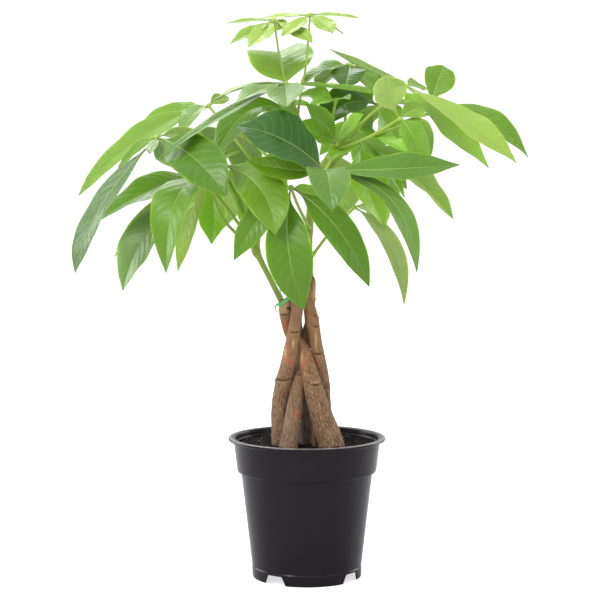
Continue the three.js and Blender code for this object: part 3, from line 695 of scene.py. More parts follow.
def blend(tree, share, first, second, how="MIX"):
    """A colour between two others."""
    inputs = {0: share, 6: first, 7: second}
    return put(tree, "ShaderNodeMix", inputs, data_type="RGBA", blend_type=how).outputs[2]


def between(tree, share, first, second):
    return put(tree, "ShaderNodeMix", {0: share, 2: first, 3: second}, data_type="FLOAT").outputs[0]


def grain(tree, vector, scale, detail=2.0, roughness=0.5):
    inputs = {"Vector": vector, "Scale": scale, "Detail": detail, "Roughness": roughness}
    return put(tree, "ShaderNodeTexNoise", inputs).outputs["Fac"]


def stretched(tree, vector, scale):
    """A vector with each of its parts scaled."""
    return put(tree, "ShaderNodeVectorMath", {0: vector, 1: scale}, operation="MULTIPLY").outputs[0]


def own(tree, name, output="Fac"):
    """What a piece stores under a name."""
    return put(tree, "ShaderNodeAttribute", attribute_name=name).outputs[output]


def colour(values):
    return (*values, 1.0)


def new_group(name, inputs, outputs, family="Shader"):
    """A group of nodes with its sockets, each given as a name, a kind and a start value."""
    tree = bpy.data.node_groups.new(name, f"{family}NodeTree")
    for label, kind, value in inputs:
        socket = tree.interface.new_socket(label, in_out="INPUT", socket_type=f"NodeSocket{kind}")
        if value is not None:
            socket.default_value = value
    for label, kind in outputs:
        tree.interface.new_socket(label, in_out="OUTPUT", socket_type=f"NodeSocket{kind}")
    return tree, tree.nodes.new("NodeGroupInput").outputs, tree.nodes.new("NodeGroupOutput").inputs


def mottle_group():
    """Patches of lighter and darker shade over a colour, with a fine speckle."""
    tree, given, out = new_group(
        "Mottle",
        [("Colour", "Color", (0.5, 0.5, 0.5, 1)), ("Vector", "Vector", None), ("Patches", "Float", 60.0),
         ("Speckle", "Float", 700.0), ("Strength", "Float", 0.2)],
        [("Colour", "Color"), ("Shade", "Float")],
    )
    wide = grain(tree, given["Vector"], given["Patches"], 3.0, 0.55)
    fine = grain(tree, given["Vector"], given["Speckle"], 2.0, 0.6)
    shade = calc(tree, "MULTIPLY_ADD", fine, 0.35, times(tree, wide, 0.65))
    offset = times(tree, calc(tree, "SUBTRACT", shade, 0.5), given["Strength"])
    lit = calc(tree, "MULTIPLY_ADD", offset, 2.0, 1.0)
    grey = put(tree, "ShaderNodeCombineColor", {0: lit, 1: lit, 2: lit}).outputs[0]
    tree.links.new(blend(tree, 1.0, given["Colour"], grey, "MULTIPLY"), out["Colour"])
    tree.links.new(shade, out["Shade"])
    return tree


def vein_group():
    """The midrib and the side veins of a blade, from where a point lies along and across it."""
    tree, given, out = new_group(
        "Leaf Veins",
        [("Along", "Float", 0.0), ("Side", "Float", 0.0), ("Off Rib", "Float", 0.0), ("Pairs", "Float", 11.0),
         ("Wobble", "Float", 0.5), ("Vein Width", "Float", 0.1), ("Rib Width", "Float", 0.8)],
        [("Rib", "Float"), ("Veins", "Float"), ("Quilt", "Float")],
    )
    out_from_rib = calc(tree, "ABSOLUTE", given["Side"])
    right = calc(tree, "GREATER_THAN", given["Side"], 0.0)
    sweep = times(tree, calc(tree, "POWER", out_from_rib, 1.35), 1.9)
    row = calc(tree, "MULTIPLY_ADD", given["Along"], given["Pairs"], times(tree, right, 0.42))
    row = calc(tree, "ADD", calc(tree, "SUBTRACT", row, sweep), times(tree, given["Wobble"], 0.9))
    away = calc(tree, "PINGPONG", row, 0.5)
    fade = ease(tree, out_from_rib, 0.97, 0.7)
    vein = times(tree, ease(tree, away, given["Vein Width"], 0.0), fade)
    rib_width = times(tree, given["Rib Width"], ease(tree, given["Along"], 1.0, 0.1, 0.28, 1.0))
    off_rib = calc(tree, "ABSOLUTE", given["Off Rib"])
    rib = ease(tree, off_rib, rib_width, times(tree, rib_width, 0.35))
    tree.links.new(rib, out["Rib"])
    tree.links.new(vein, out["Veins"])
    tree.links.new(times(tree, ease(tree, away, 0.0, 0.42), fade), out["Quilt"])
    return tree


def skin_group():
    """The wrinkled skin of bark or a stem, from where a point lies round and along it."""
    tree, given, out = new_group(
        "Wrinkled Skin",
        [("Around", "Vector", None), ("Along", "Float", 0.0), ("Wrinkles", "Float", 9.0),
         ("Length", "Float", 60.0), ("Rings", "Float", 170.0)],
        [("Wrinkles", "Float"), ("Rings", "Float"), ("Grain", "Float")],
    )
    parts = put(tree, "ShaderNodeSeparateXYZ", {0: given["Around"]}).outputs
    across = [times(tree, part, given["Wrinkles"]) for part in parts[:2]]
    run = times(tree, given["Along"], given["Length"])
    path = put(tree, "ShaderNodeCombineXYZ", {0: across[0], 1: across[1], 2: run}).outputs[0]
    tree.links.new(grain(tree, path, 1.0, 4.0, 0.62), out["Wrinkles"])
    run = times(tree, given["Along"], given["Rings"])
    ring_path = put(tree, "ShaderNodeCombineXYZ", {0: parts[0], 1: parts[1], 2: run}).outputs[0]
    tree.links.new(grain(tree, ring_path, 1.6, 3.0, 0.5), out["Rings"])
    tree.links.new(grain(tree, path, 2.1, 3.0, 0.7), out["Grain"])
    return tree


def new_material(name, roughness, **plain):
    """A material with its own shader, whose plain values are set on its sockets."""
    made = bpy.data.materials.new(name)
    made.use_nodes = True
    tree = made.node_tree
    shader = tree.nodes["Principled BSDF"]
    shader.inputs["Roughness"].default_value = roughness
    for key, value in plain.items():
        shader.inputs[key.replace("_", " ").title().replace("Ior", "IOR")].default_value = value
    return made, tree, shader


def paint(tree, shader, shade, dull=None):
    """Links the colour of a finish and, where it varies, how dull it is."""
    tree.links.new(shade, shader.inputs["Base Color"])
    if dull is not None:
        tree.links.new(dull, shader.inputs["Roughness"])


def bumped(tree, shader, height, distance, strength=1.0):
    bump = put(tree, "ShaderNodeBump", {"Height": height, "Distance": distance, "Strength": strength})
    tree.links.new(bump.outputs[0], shader.inputs["Normal"])


def object_place(tree):
    return put(tree, "ShaderNodeTexCoord").outputs["Object"]


GROUPS = {}


def group(name):
    """A shader group, built the first time that it's asked for."""
    makers = {"mottle": mottle_group, "veins": vein_group, "skin": skin_group}
    if name not in GROUPS:
        GROUPS[name] = makers[name]()
    return GROUPS[name]


def group_node(tree, name, inputs):
    return put(tree, "ShaderNodeGroup", inputs, node_tree=group(name)).outputs


def mottle(tree, base, where, patches, speckle, strength):
    return group_node(tree, "mottle", {
        "Colour": base, "Vector": where, "Patches": patches, "Speckle": speckle, "Strength": strength})


def wrinkled(tree, wrinkles, length, rings):
    return group_node(tree, "skin", {
        "Around": own(tree, "around", "Vector"), "Along": own(tree, "along"), "Wrinkles": wrinkles,
        "Length": length, "Rings": rings})


def plastic_material(settings):
    """Glossy black plastic, faintly streaked from the mould and scuffed by handling, with a pale
    highlight painted round the rim's lip.
    """
    made, tree, shader = new_material("Pot plastic", settings.roughness, ior=1.34)
    where = object_place(tree)
    mottled = mottle(tree, colour(settings.plastic), where, 26.0, 420.0, 0.28)
    streaks = grain(tree, stretched(tree, where, (1, 1, 0.12)), 140.0, 4.0, 0.6)
    scuffs = ease(tree, grain(tree, where, 38.0, 6.0, 0.7), 0.62, 0.78)
    rubbed = blend(tree, times(tree, scuffs, 0.35), mottled["Colour"], colour(settings.scuffed))
    spot = put(tree, "ShaderNodeSeparateXYZ", {0: where}).outputs
    squares = [calc(tree, "POWER", part, 2.0) for part in spot[:2]]
    out_from_axis = calc(tree, "SQRT", calc(tree, "ADD", *squares))
    # A pale highlight painted round the top of the rim, broken up by the mould streaks.
    rim = times(tree, ease(tree, spot[2], *RIM_HIGHLIGHT_FROM), ease(tree, out_from_axis, *RIM_HIGHLIGHT_OUT_FROM))
    rim_highlight = times(tree, rim, ease(tree, streaks, 0.3, 0.7, 0.5, 0.95))
    streaky = calc(tree, "MULTIPLY_ADD", streaks, 0.1, settings.roughness - 0.05)
    dull = calc(tree, "MULTIPLY_ADD", scuffs, 0.14, streaky)
    paint(tree, shader, blend(tree, rim_highlight, rubbed, colour(settings.rim_highlight)), dull)
    bumped(tree, shader, calc(tree, "ADD", streaks, grain(tree, where, 900.0, 2.0)), 0.00006)
    return made


def earth_material(settings):
    """Damp dark soil with bark chips and pale grit, told apart by what each crumb stores."""
    made, tree, shader = new_material("Potting soil", 0.92, specular_ior_level=0.25)
    where = object_place(tree)
    crumb = own(tree, "crumb")
    mottled = mottle(tree, colour(settings.earth), where, 120.0, 1500.0, 0.7)
    chip = ease(tree, crumb, *CHIP_FROM)
    grit = ease(tree, crumb, *GRIT_FROM)
    shaded = blend(tree, chip, mottled["Colour"], colour(settings.chip))
    shaded = blend(tree, grit, shaded, colour(settings.grit))
    paint(tree, shader, shaded)
    bumped(tree, shader, grain(tree, where, 1600.0, 4.0, 0.7), 0.0003)
    return made


def bark_material(settings):
    """Wrinkled tan bark, redder towards the top, with dark scars and orange young bark. Shade is
    painted into the wrinkles' hollows and into the scars, and highlights onto the raised grain.
    """
    made, tree, shader = new_material("Bark", 0.74, specular_ior_level=0.35)
    skin = wrinkled(tree, 7.2, 125.0, 210.0)
    where = object_place(tree)
    height = put(tree, "ShaderNodeSeparateXYZ", {0: where}).outputs[2]
    uneven_height = calc(tree, "MULTIPLY_ADD", grain(tree, where, 45.0, 2.0), 0.05, height)
    rise = ease(tree, uneven_height, *BARK_REDDENS)
    base = blend(tree, rise, colour(settings.low), colour(settings.high))
    mottled = mottle(tree, base, where, 85.0, 900.0, 0.62)["Colour"]
    greyed = times(tree, own(tree, "weathered"), 0.85)
    aged = blend(tree, greyed, mottled, AGED_BARK)
    coarse = ease(tree, height, *BARK_SMOOTHS, 0.3, 1.0)
    # Painted shade in the hollows of the wrinkles, weaker near the top.
    painted_groove_shade = times(tree, ease(tree, skin["Wrinkles"], 0.55, 0.40), coarse)
    darker = blend(tree, times(tree, painted_groove_shade, 0.58), aged, GROOVE_SHADE)
    # Painted highlights on the raised grain, fewer on weathered bark and near the top.
    painted_ridge_highlight = times(tree, ease(tree, skin["Grain"], 0.51, 0.6), calc(tree, "SUBTRACT", 0.7, greyed))
    painted_ridge_highlight = times(tree, painted_ridge_highlight, ease(tree, height, *BARK_EVENS, 0.5, 1.0))
    lighter = blend(tree, calc(tree, "MAXIMUM", painted_ridge_highlight, 0.0), darker, RIDGE_HIGHLIGHT)
    flush = times(tree, own(tree, "blush"), ease(tree, grain(tree, where, 260.0, 3.0, 0.6), 0.34, 0.52))
    flushed = blend(tree, times(tree, flush, 0.75), lighter, colour(settings.blush))
    pale = blend(tree, times(tree, own(tree, "pale"), 0.72), flushed, PALE_BARK)
    # The scars are darkened with painted shade.
    scarred = blend(tree, own(tree, "crack"), pale, colour(settings.crack))
    paint(tree, shader, scarred)
    relief = calc(tree, "MULTIPLY_ADD", skin["Wrinkles"], 1.2, times(tree, skin["Grain"], 0.7))
    relief = calc(tree, "MULTIPLY_ADD", skin["Rings"], 0.25, relief)
    bumped(tree, shader, times(tree, relief, coarse), 0.0018)
    return made


def stem_material(settings):
    """The skin of the green stems and of the leaves' own stems, corky where it's oldest."""
    made, tree, shader = new_material("Green stem", 0.46, specular_ior_level=0.4)
    skin = wrinkled(tree, 2.6, 42.0, 260.0)
    fresh = own(tree, "fresh")
    base = blend(tree, fresh, colour(settings.stem), colour(settings.petiole))
    mottled = mottle(tree, base, object_place(tree), 110.0, 1100.0, 0.22)["Colour"]
    streak = times(tree, ease(tree, skin["Wrinkles"], 0.56, 0.42), calc(tree, "SUBTRACT", 0.6, fresh))
    streaked = blend(tree, calc(tree, "MAXIMUM", streak, 0.0), mottled, STEM_STREAK)
    corky = blend(tree, own(tree, "cork"), streaked, STEM_CORK)
    paint(tree, shader, corky)
    relief = calc(tree, "ADD", skin["Wrinkles"], times(tree, skin["Rings"], 0.3))
    bumped(tree, shader, relief, 0.0003, 0.8)
    return made


def leaf_material(settings, name, gloss):
    """A blade: pale ribs, side veins with the blade quilted between them, and a dull paler underside.
    A painted sheen lies on some leaflets, and a painted glow of vivid green on others.
    """
    made, tree, shader = new_material(name, gloss, specular_ior_level=0.42, subsurface_weight=0.5,
                                      subsurface_radius=(0.7, 1.0, 0.12), subsurface_scale=0.0009)
    where = object_place(tree)
    tone, under = own(tree, "tone"), own(tree, "under")
    spread = put(tree, "ShaderNodeUVMap", uv_map="Blade").outputs[0]
    along, side = put(tree, "ShaderNodeSeparateXYZ", {0: spread}).outputs[:2]
    side = calc(tree, "MULTIPLY_ADD", side, 2.0, -1.0)
    veins = group_node(tree, "veins", {
        "Along": along, "Side": side, "Off Rib": own(tree, "off_rib"), "Pairs": float(settings.vein_pairs),
        "Wobble": grain(tree, where, 55.0, 2.0), "Vein Width": 0.06, "Rib Width": 0.00085})
    ramp = blend(tree, ease(tree, tone, 0.0, 0.5), colour(settings.young), colour(settings.grown))
    ramp = blend(tree, ease(tree, tone, 0.5, 1.0), ramp, colour(settings.old))
    mottled = mottle(tree, ramp, where, 42.0, 900.0, 0.16)
    pale_vein = blend(tree, 0.5, ramp, LEAF_VEIN)
    vein_look = times(tree, veins["Veins"], between(tree, under, 0.26, 0.4))
    veined = blend(tree, vein_look, mottled["Colour"], pale_vein)
    ribbed = blend(tree, times(tree, veins["Rib"], 0.7), veined, LEAF_RIB)
    turned = blend(tree, 0.4, ribbed, LEAF_UNDERSIDE)
    sided = blend(tree, under, ribbed, turned)
    # Painted sheen, laid on in patches where a leaflet stores a share above zero.
    bloom = times(tree, own(tree, "bloom"), ease(tree, mottled["Shade"], 0.25, 0.6, 0.35, 0.65))
    # Below zero, vivid green is painted on, mostly as the glow of light through a shaded leaflet.
    vivid = times(tree, own(tree, "bloom"), -1.0)
    bloomed = blend(tree, bloom, sided, PAINTED_SHEEN)
    dull = calc(tree, "MULTIPLY_ADD", mottled["Shade"], 0.12, between(tree, under, gloss - 0.06, 0.6))
    paint(tree, shader, blend(tree, vivid, bloomed, VIVID_LEAF), dull)
    quilt = times(tree, veins["Quilt"], between(tree, under, 1.0, -1.0))
    rib = times(tree, veins["Rib"], between(tree, under, -0.7, 1.2))
    fine = times(tree, grain(tree, where, 900.0, 2.0), 0.12)
    relief = calc(tree, "ADD", calc(tree, "ADD", quilt, rib), fine)
    bumped(tree, shader, relief, 0.00028, 0.62)
    return made


def tape_material(settings):
    """Thin green plastic tape, creased, and paler where it's stretched."""
    made, tree, shader = new_material("Tie tape", 0.28, ior=1.45)
    where = object_place(tree)
    creases = grain(tree, stretched(tree, where, (1, 1, 2.4)), 420.0, 3.0, 0.6)
    mottled = mottle(tree, colour(settings.tape), where, 190.0, 1500.0, 0.35)
    pale = blend(tree, ease(tree, creases, 0.55, 0.75, 0.0, 0.5), mottled["Colour"], STRETCHED_TAPE)
    paint(tree, shader, pale)
    bumped(tree, shader, creases, 0.0005, 0.8)
    return made


# Trees that make meshes

def stored(tree, name, kind="FLOAT"):
    """What the mesh stores under a name."""
    return put(tree, "GeometryNodeInputNamedAttribute", {"Name": name}, data_type=kind).outputs[0]


def limb_tree():
    """Sweeps a round limb along each line of a mesh, wrinkles it, and keeps the mesh's blades with it."""
    tree, given, out = new_group(
        "Limbs and Blades",
        [("Lines and Blades", "Geometry", None), ("Sides", "Int", 16), ("Wrinkle Depth", "Float", 0.0),
         ("Wrinkles", "Float", 6.0), ("Wrinkle Length", "Float", 60.0), ("Swelling Depth", "Float", 0.0),
         ("Skin", "Material", None), ("Blade", "Material", None)],
        [("Mesh", "Geometry")], "Geometry",
    )
    parted = put(tree, "GeometryNodeSeparateGeometry",
                 {0: given["Lines and Blades"], 1: stored(tree, "blade", "BOOLEAN")}, domain="POINT")
    lines = put(tree, "GeometryNodeMeshToCurve", {0: parted.outputs[1]}).outputs[0]
    ring = put(tree, "GeometryNodeCurvePrimitiveCircle",
               {"Resolution": given["Sides"], "Radius": 1.0}).outputs[0]
    where = put(tree, "GeometryNodeInputPosition").outputs[0]
    ring = put(tree, "GeometryNodeStoreNamedAttribute", {"Geometry": ring, "Name": "around", "Value": where},
               data_type="FLOAT_VECTOR", domain="POINT").outputs[0]
    limb = put(tree, "GeometryNodeCurveToMesh",
               {"Curve": lines, "Profile Curve": ring, "Scale": stored(tree, "girth"),
                "Fill Caps": True}).outputs[0]
    along = stored(tree, "along")
    parts = put(tree, "ShaderNodeSeparateXYZ", {0: stored(tree, "around", "FLOAT_VECTOR")}).outputs
    run = times(tree, along, given["Wrinkle Length"])
    path = put(tree, "ShaderNodeCombineXYZ", {0: times(tree, parts[0], given["Wrinkles"]),
                                              1: times(tree, parts[1], given["Wrinkles"]), 2: run})
    wrinkle = calc(tree, "SUBTRACT", grain(tree, path.outputs[0], 1.0, 3.0, 0.55), 0.5)
    slow = put(tree, "ShaderNodeCombineXYZ", {0: parts[0], 1: parts[1], 2: times(tree, along, 55.0)})
    swelling = calc(tree, "SUBTRACT", grain(tree, slow.outputs[0], 0.9, 1.0), 0.5)
    lift = calc(tree, "MULTIPLY_ADD", wrinkle, given["Wrinkle Depth"],
                times(tree, swelling, given["Swelling Depth"]))
    normal = put(tree, "GeometryNodeInputNormal").outputs[0]
    offset = put(tree, "ShaderNodeVectorMath", {0: normal, "Scale": lift}, operation="SCALE").outputs[0]
    limb = put(tree, "GeometryNodeSetPosition", {"Geometry": limb, "Offset": offset}).outputs[0]
    limb = put(tree, "GeometryNodeSetShadeSmooth", {"Geometry": limb, "Shade Smooth": True}).outputs[0]
    limb = put(tree, "GeometryNodeRealizeInstances", {0: limb}).outputs[0]
    limb = put(tree, "GeometryNodeSetMaterial", {"Geometry": limb, "Material": given["Skin"]}).outputs[0]
    blades = put(tree, "GeometryNodeSetMaterial",
                 {"Geometry": parted.outputs[0], "Material": given["Blade"]}).outputs[0]
    joined = tree.nodes.new("GeometryNodeJoinGeometry")
    tree.links.new(limb, joined.inputs[0])
    tree.links.new(blades, joined.inputs[0])
    tree.links.new(joined.outputs[0], out[0])
    return tree


def crumb_tree():
    """Strews crumbs over the soil's top, each with a random number that tells its kind."""
    tree, given, out = new_group(
        "Soil Crumbs",
        [("Soil", "Geometry", None), ("Spacing", "Float", 0.002), ("Crumb", "Float", 0.001),
         ("Seed", "Int", SOIL_SEED), ("Earth", "Material", None)],
        [("Mesh", "Geometry")], "Geometry",
    )
    strewn = put(tree, "GeometryNodeDistributePointsOnFaces",
                 {"Mesh": given["Soil"], "Selection": stored(tree, "top", "BOOLEAN"),
                  "Distance Min": given["Spacing"], "Density Max": 9e5, "Seed": given["Seed"]},
                 distribute_method="POISSON")
    kind = put(tree, "FunctionNodeRandomValue", {2: 0.0, 3: 1.0, "Seed": 3}, data_type="FLOAT")
    points = put(tree, "GeometryNodeStoreNamedAttribute",
                 {"Geometry": strewn.outputs["Points"], "Name": "crumb", "Value": kind.outputs[1]},
                 data_type="FLOAT", domain="POINT").outputs[0]
    lump = put(tree, "GeometryNodeMeshIcoSphere", {"Radius": 1.0, "Subdivisions": 1}).outputs[0]
    turn = put(tree, "FunctionNodeRandomValue", {0: (0, 0, 0), 1: (6.3, 6.3, 6.3), "Seed": 4},
               data_type="FLOAT_VECTOR").outputs[0]
    size = put(tree, "FunctionNodeRandomValue", {0: (0.5, 0.4, 0.3), 1: (1.7, 1.2, 0.8), "Seed": 5},
               data_type="FLOAT_VECTOR").outputs[0]
    size = put(tree, "ShaderNodeVectorMath", {0: size, "Scale": given["Crumb"]},
               operation="SCALE").outputs[0]
    crumbs = put(tree, "GeometryNodeInstanceOnPoints",
                 {"Points": points, "Instance": lump, "Rotation": turn, "Scale": size}).outputs[0]
    crumbs = put(tree, "GeometryNodeRealizeInstances", {0: crumbs}).outputs[0]
    joined = tree.nodes.new("GeometryNodeJoinGeometry")
    tree.links.new(crumbs, joined.inputs[0])
    tree.links.new(given["Soil"], joined.inputs[0])
    done = put(tree, "GeometryNodeSetMaterial", {"Geometry": joined.outputs[0], "Material": given["Earth"]})
    tree.links.new(done.outputs[0], out[0])
    return tree


def grow(made, tree, values, name):
    """Runs a tree on an object with its inputs set, and keeps the mesh that it makes."""
    modifier = made.modifiers.new("Growth", "NODES")
    modifier.node_group = tree
    for item in tree.interface.items_tree:
        if item.item_type == "SOCKET" and item.in_out == "INPUT" and item.name in values:
            modifier[item.identifier] = values[item.name]
    return evaluated_mesh(made, name)


class Lines:
    """The lines that limbs are swept along, and the blades that go with them."""

    def __init__(self):
        self.points, self.edges, self.faces, self.under = [], [], [], []
        kept = ("girth", "along", "fresh", "cork", "tone", "bloom", "off_rib", "blade", "u", "v")
        self.values = {key: [] for key in kept}
        self.count = 0

    def add(self, points, **values):
        self.points.append(np.asarray(points))
        for key, kept in self.values.items():
            kept.append(np.broadcast_to(np.asarray(values.get(key, 0.0), float), (len(points),)))
        self.count += len(points)

    def limb(self, line, run, fresh=0.0, cork=0.0):
        start = self.count
        along = run + LIMB_SHIFT * len(self.edges)
        self.add(line[:, :3], girth=line[:, 3] * MM, along=along * MM, fresh=fresh, cork=cork)
        self.edges.append(np.stack([np.arange(len(line) - 1), np.arange(1, len(line))], 1) + start)

    def blade(self, rings, **values):
        """A closed blade from its rings, whose first half is its underside."""
        steps, size = rings.shape[:2]
        start = self.count
        self.add(rings.reshape(-1, 3), blade=1.0, **values)
        a = (np.arange(steps - 1)[:, None] * size + np.arange(size)[None]).ravel() + start
        b = (np.arange(steps - 1)[:, None] * size + (np.arange(size)[None] + 1) % size).ravel() + start
        self.faces.extend(np.stack([a, b, b + size, a + size], 1).tolist())
        self.under += [float(j < size // 2) for j in range(size)] * (steps - 1) + [0.0, 0.0]
        self.faces.append(list(range(start + size - 1, start - 1, -1)))
        self.faces.append(list(range(start + (steps - 1) * size, start + steps * size)))

    def object(self, name):
        edges = np.concatenate(self.edges).tolist() if self.edges else []
        made = mesh_object(name, np.concatenate(self.points) * MM, self.faces, edges)
        for key, kept in self.values.items():
            values = np.concatenate(kept)
            if key == "blade":
                point_values(made.data, key, values > 0.5, "BOOLEAN")
            elif key not in "uv":
                point_values(made.data, key, values)
        return made


# The pot

def arc(corner, before, after, reach):
    """A corner of a profile rounded off, as points from one side of it to the other."""
    corner, before, after = (np.array(p, float) for p in (corner, before, after))
    start = corner + unit(before - corner) * min(reach, np.linalg.norm(before - corner) * 0.45)
    end = corner + unit(after - corner) * min(reach, np.linalg.norm(after - corner) * 0.45)
    share = np.linspace(0, 1, CORNER_STEPS)[:, None]
    return bowed(start, corner, end, share)


def pot_profile():
    """The pot's wall from the middle of its underside, round the outside and over the rim, to its floor."""
    inner_foot = FOOT_RADIUS - WALL
    inner_collar = COLLAR_TOP_RADIUS - WALL
    corners = [
        (0, FLOOR_Z - WALL, 0), (inner_foot, FLOOR_Z - WALL, 1.2), (inner_foot - SKIRT_TAPER, 0, 0.4),
        (FOOT_RADIUS - SKIRT_TAPER, 0, 0.6), (FOOT_RADIUS, FLOOR_Z - GROOVE_HEIGHT, 0.25),
        (FOOT_RADIUS - GROOVE_DEPTH, FLOOR_Z, 0.3), (FOOT_RADIUS, FLOOR_Z + GROOVE_HEIGHT, 0.3),
        (WALL_TOP_RADIUS, LEDGE_Z, 0.7), (COLLAR_FOOT_RADIUS - 0.6, LEDGE_Z + 0.5, 1.0),
        (COLLAR_FOOT_RADIUS, COLLAR_FOOT_Z - 0.4, 1.1),
        (COLLAR_TOP_RADIUS, POT_HEIGHT - LIP_HEIGHT - 0.8, 1.0),
        (RIM_RADIUS - 0.6, POT_HEIGHT - LIP_HEIGHT, 1.0), (RIM_RADIUS, POT_HEIGHT - LIP_HEIGHT / 2, 1.3),
        (RIM_RADIUS - 0.9, POT_HEIGHT, 1.3), (inner_collar + 0.3, POT_HEIGHT - 0.5, 1.0),
        (inner_collar, POT_HEIGHT - INNER_STEP_DEPTH, 0.4),
        (inner_collar - 1, POT_HEIGHT - INNER_STEP_DEPTH - 0.5, 0.4),
        (COLLAR_FOOT_RADIUS - WALL, COLLAR_FOOT_Z, 1.2), (WALL_TOP_RADIUS - WALL, COLLAR_FOOT_Z - 1.2, 0.9),
        (inner_foot, FLOOR_Z, 2.0), (0, FLOOR_Z, 0),
    ]
    line = [np.array(corners[0][:2], float)[None]]
    for last, (radius, height, reach), following in zip(corners, corners[1:], corners[2:]):
        line.append(arc((radius, height), last[:2], following[:2], reach))
    line.append(np.array(corners[-1][:2], float)[None])
    return np.concatenate(line)


def turned(profile, sides):
    """Points and faces of a profile turned round the upright axis; its two ends close on the axis."""
    turns = np.arange(sides) * 2 * np.pi / sides
    ring = profile[1:-1]
    x = ring[:, :1] * np.cos(turns)
    y = ring[:, :1] * np.sin(turns)
    z = np.broadcast_to(ring[:, 1:], x.shape)
    points = np.stack([x, y, z], -1).reshape(-1, 3)
    points = np.concatenate([points, [[0, 0, profile[0, 1]], [0, 0, profile[-1, 1]]]])
    a = np.arange((len(ring) - 1) * sides).reshape(-1, sides)
    b = np.roll(a, -1, 1)
    faces = np.stack([a, b, b + sides, a + sides], -1).reshape(-1, 4).tolist()
    last = (len(ring) - 1) * sides
    for j in range(sides):
        k = (j + 1) % sides
        faces.append([len(points) - 2, k, j])
        faces.append([len(points) - 1, last + j, last + k])
    return points, faces


def drum_faces(count):
    """The faces between a lower and an upper ring of as many points, and over both rings."""
    sides = [[j, (j + 1) % count, count + (j + 1) % count, count + j] for j in range(count)]
    return sides + [list(range(count - 1, -1, -1)), list(range(count, 2 * count))]


def prism(outline, start, end, turn):
    """A prism pointing out from the axis; its outline is read across and up."""
    points = np.array([[x, y, z] for y in (start, end) for x, z in outline], float)
    c, s = math.cos(turn), math.sin(turn)
    return points @ np.array([[c, s, 0], [-s, c, 0], [0, 0, 1]]), drum_faces(len(outline))


def pot_cutter():
    """The notches of the foot skirt and the holes in the floor, as one mesh to cut with."""
    notch = [(-NOTCH_HALF_FOOT, -5), (NOTCH_HALF_FOOT, -5), (NOTCH_HALF_FOOT, 0),
             (NOTCH_HALF_TOP + 0.5, NOTCH_HEIGHT - 0.8),
             (NOTCH_HALF_TOP - 0.7, NOTCH_HEIGHT), (0.7 - NOTCH_HALF_TOP, NOTCH_HEIGHT),
             (-NOTCH_HALF_TOP - 0.5, NOTCH_HEIGHT - 0.8), (-NOTCH_HALF_FOOT, 0)]
    shapes = [prism(notch, -FOOT_RADIUS / 2, -FOOT_RADIUS * 1.4, math.radians(turn)) for turn in NOTCH_TURNS]
    for turn in NOTCH_TURNS:
        around = math.radians(turn + DRAIN_TURN)
        centre = DRAIN_CIRCLE * np.array([math.sin(around), -math.cos(around)])
        hole = circle(DRAIN_SIDES)
        ring = centre + DRAIN_RADIUS * np.stack([np.cos(hole), np.sin(hole)], 1)
        ends = FLOOR_Z - 3 * WALL, FLOOR_Z + 2 * WALL
        deep = [np.column_stack([ring, np.full(DRAIN_SIDES, z)]) for z in ends]
        shapes.append((np.concatenate(deep), drum_faces(DRAIN_SIDES)))
    return merged("pot_cutter", shapes)


def make_pot(settings):
    points, faces = turned(pot_profile(), settings.sides)
    pot = mesh_object("nursery_pot", points * MM, faces)
    cutter = pot_cutter()
    cut = pot.modifiers.new("Cutouts", "BOOLEAN")
    cut.operation, cut.solver, cut.object = "DIFFERENCE", "EXACT", cutter
    mesh = evaluated_mesh(pot, "nursery_pot")
    bpy.data.objects.remove(cutter)
    mesh.shade_smooth()
    mesh.set_sharp_from_angle(angle=math.radians(POT_CREASE))
    mesh.materials.clear()
    mesh.materials.append(plastic_material(settings))
    wear(pot, "pot_plastic", "pot")


# The soil

def make_soil(settings):
    collar_wall = COLLAR_FOOT_RADIUS - WALL - SOIL_GAP
    wall = [(0, FLOOR_Z + SOIL_GAP), (FOOT_RADIUS - WALL - SOIL_GAP - 1, FLOOR_Z + SOIL_GAP),
            (FOOT_RADIUS - WALL - SOIL_GAP, FLOOR_Z + SOIL_GAP + 1),
            (WALL_TOP_RADIUS - WALL - SOIL_GAP, COLLAR_FOOT_Z + SOIL_GAP - 1.5),
            (collar_wall, COLLAR_FOOT_Z + 2 * SOIL_GAP)]
    top = [(radius, SOIL_TOP) for radius in np.linspace(collar_wall + 2, 3, SOIL_RINGS)]
    points, faces = turned(np.array([*wall, *top, (0, SOIL_TOP)], float), SOIL_SIDES)
    on_top = points[:, 2] > SOIL_TOP - 0.1
    for i in np.flatnonzero(on_top):
        x, y = points[i, :2]
        lumps = noise.noise(Vector((x / 14, y / 14, 3.1))) * SOIL_HUMP
        lumps += noise.noise(Vector((x / 3.2, y / 3.2, 9.7))) * SOIL_LUMP
        dip = SOIL_DIP * math.exp(-(((x + 2) ** 2 + y ** 2) / SOIL_DIP_WIDTH ** 2) ** 2)
        points[i, 2] += lumps - dip - max(0, math.hypot(x, y) - collar_wall + 2) * 0.3
    soil = mesh_object("potting_soil", points * MM, faces)
    inside = np.hypot(points[:, 0], points[:, 1]) < collar_wall - 1
    point_values(soil.data, "top", on_top & inside, "BOOLEAN")
    point_values(soil.data, "crumb", np.full(len(points), 0.3))
    mesh = grow(soil, crumb_tree(), {
        "Spacing": settings.spacing, "Crumb": settings.crumb, "Seed": SOIL_SEED,
        "Earth": earth_material(settings)}, "potting_soil")
    mesh.shade_smooth()
    wear(soil, "potting_soil", "soil")


# The trunks

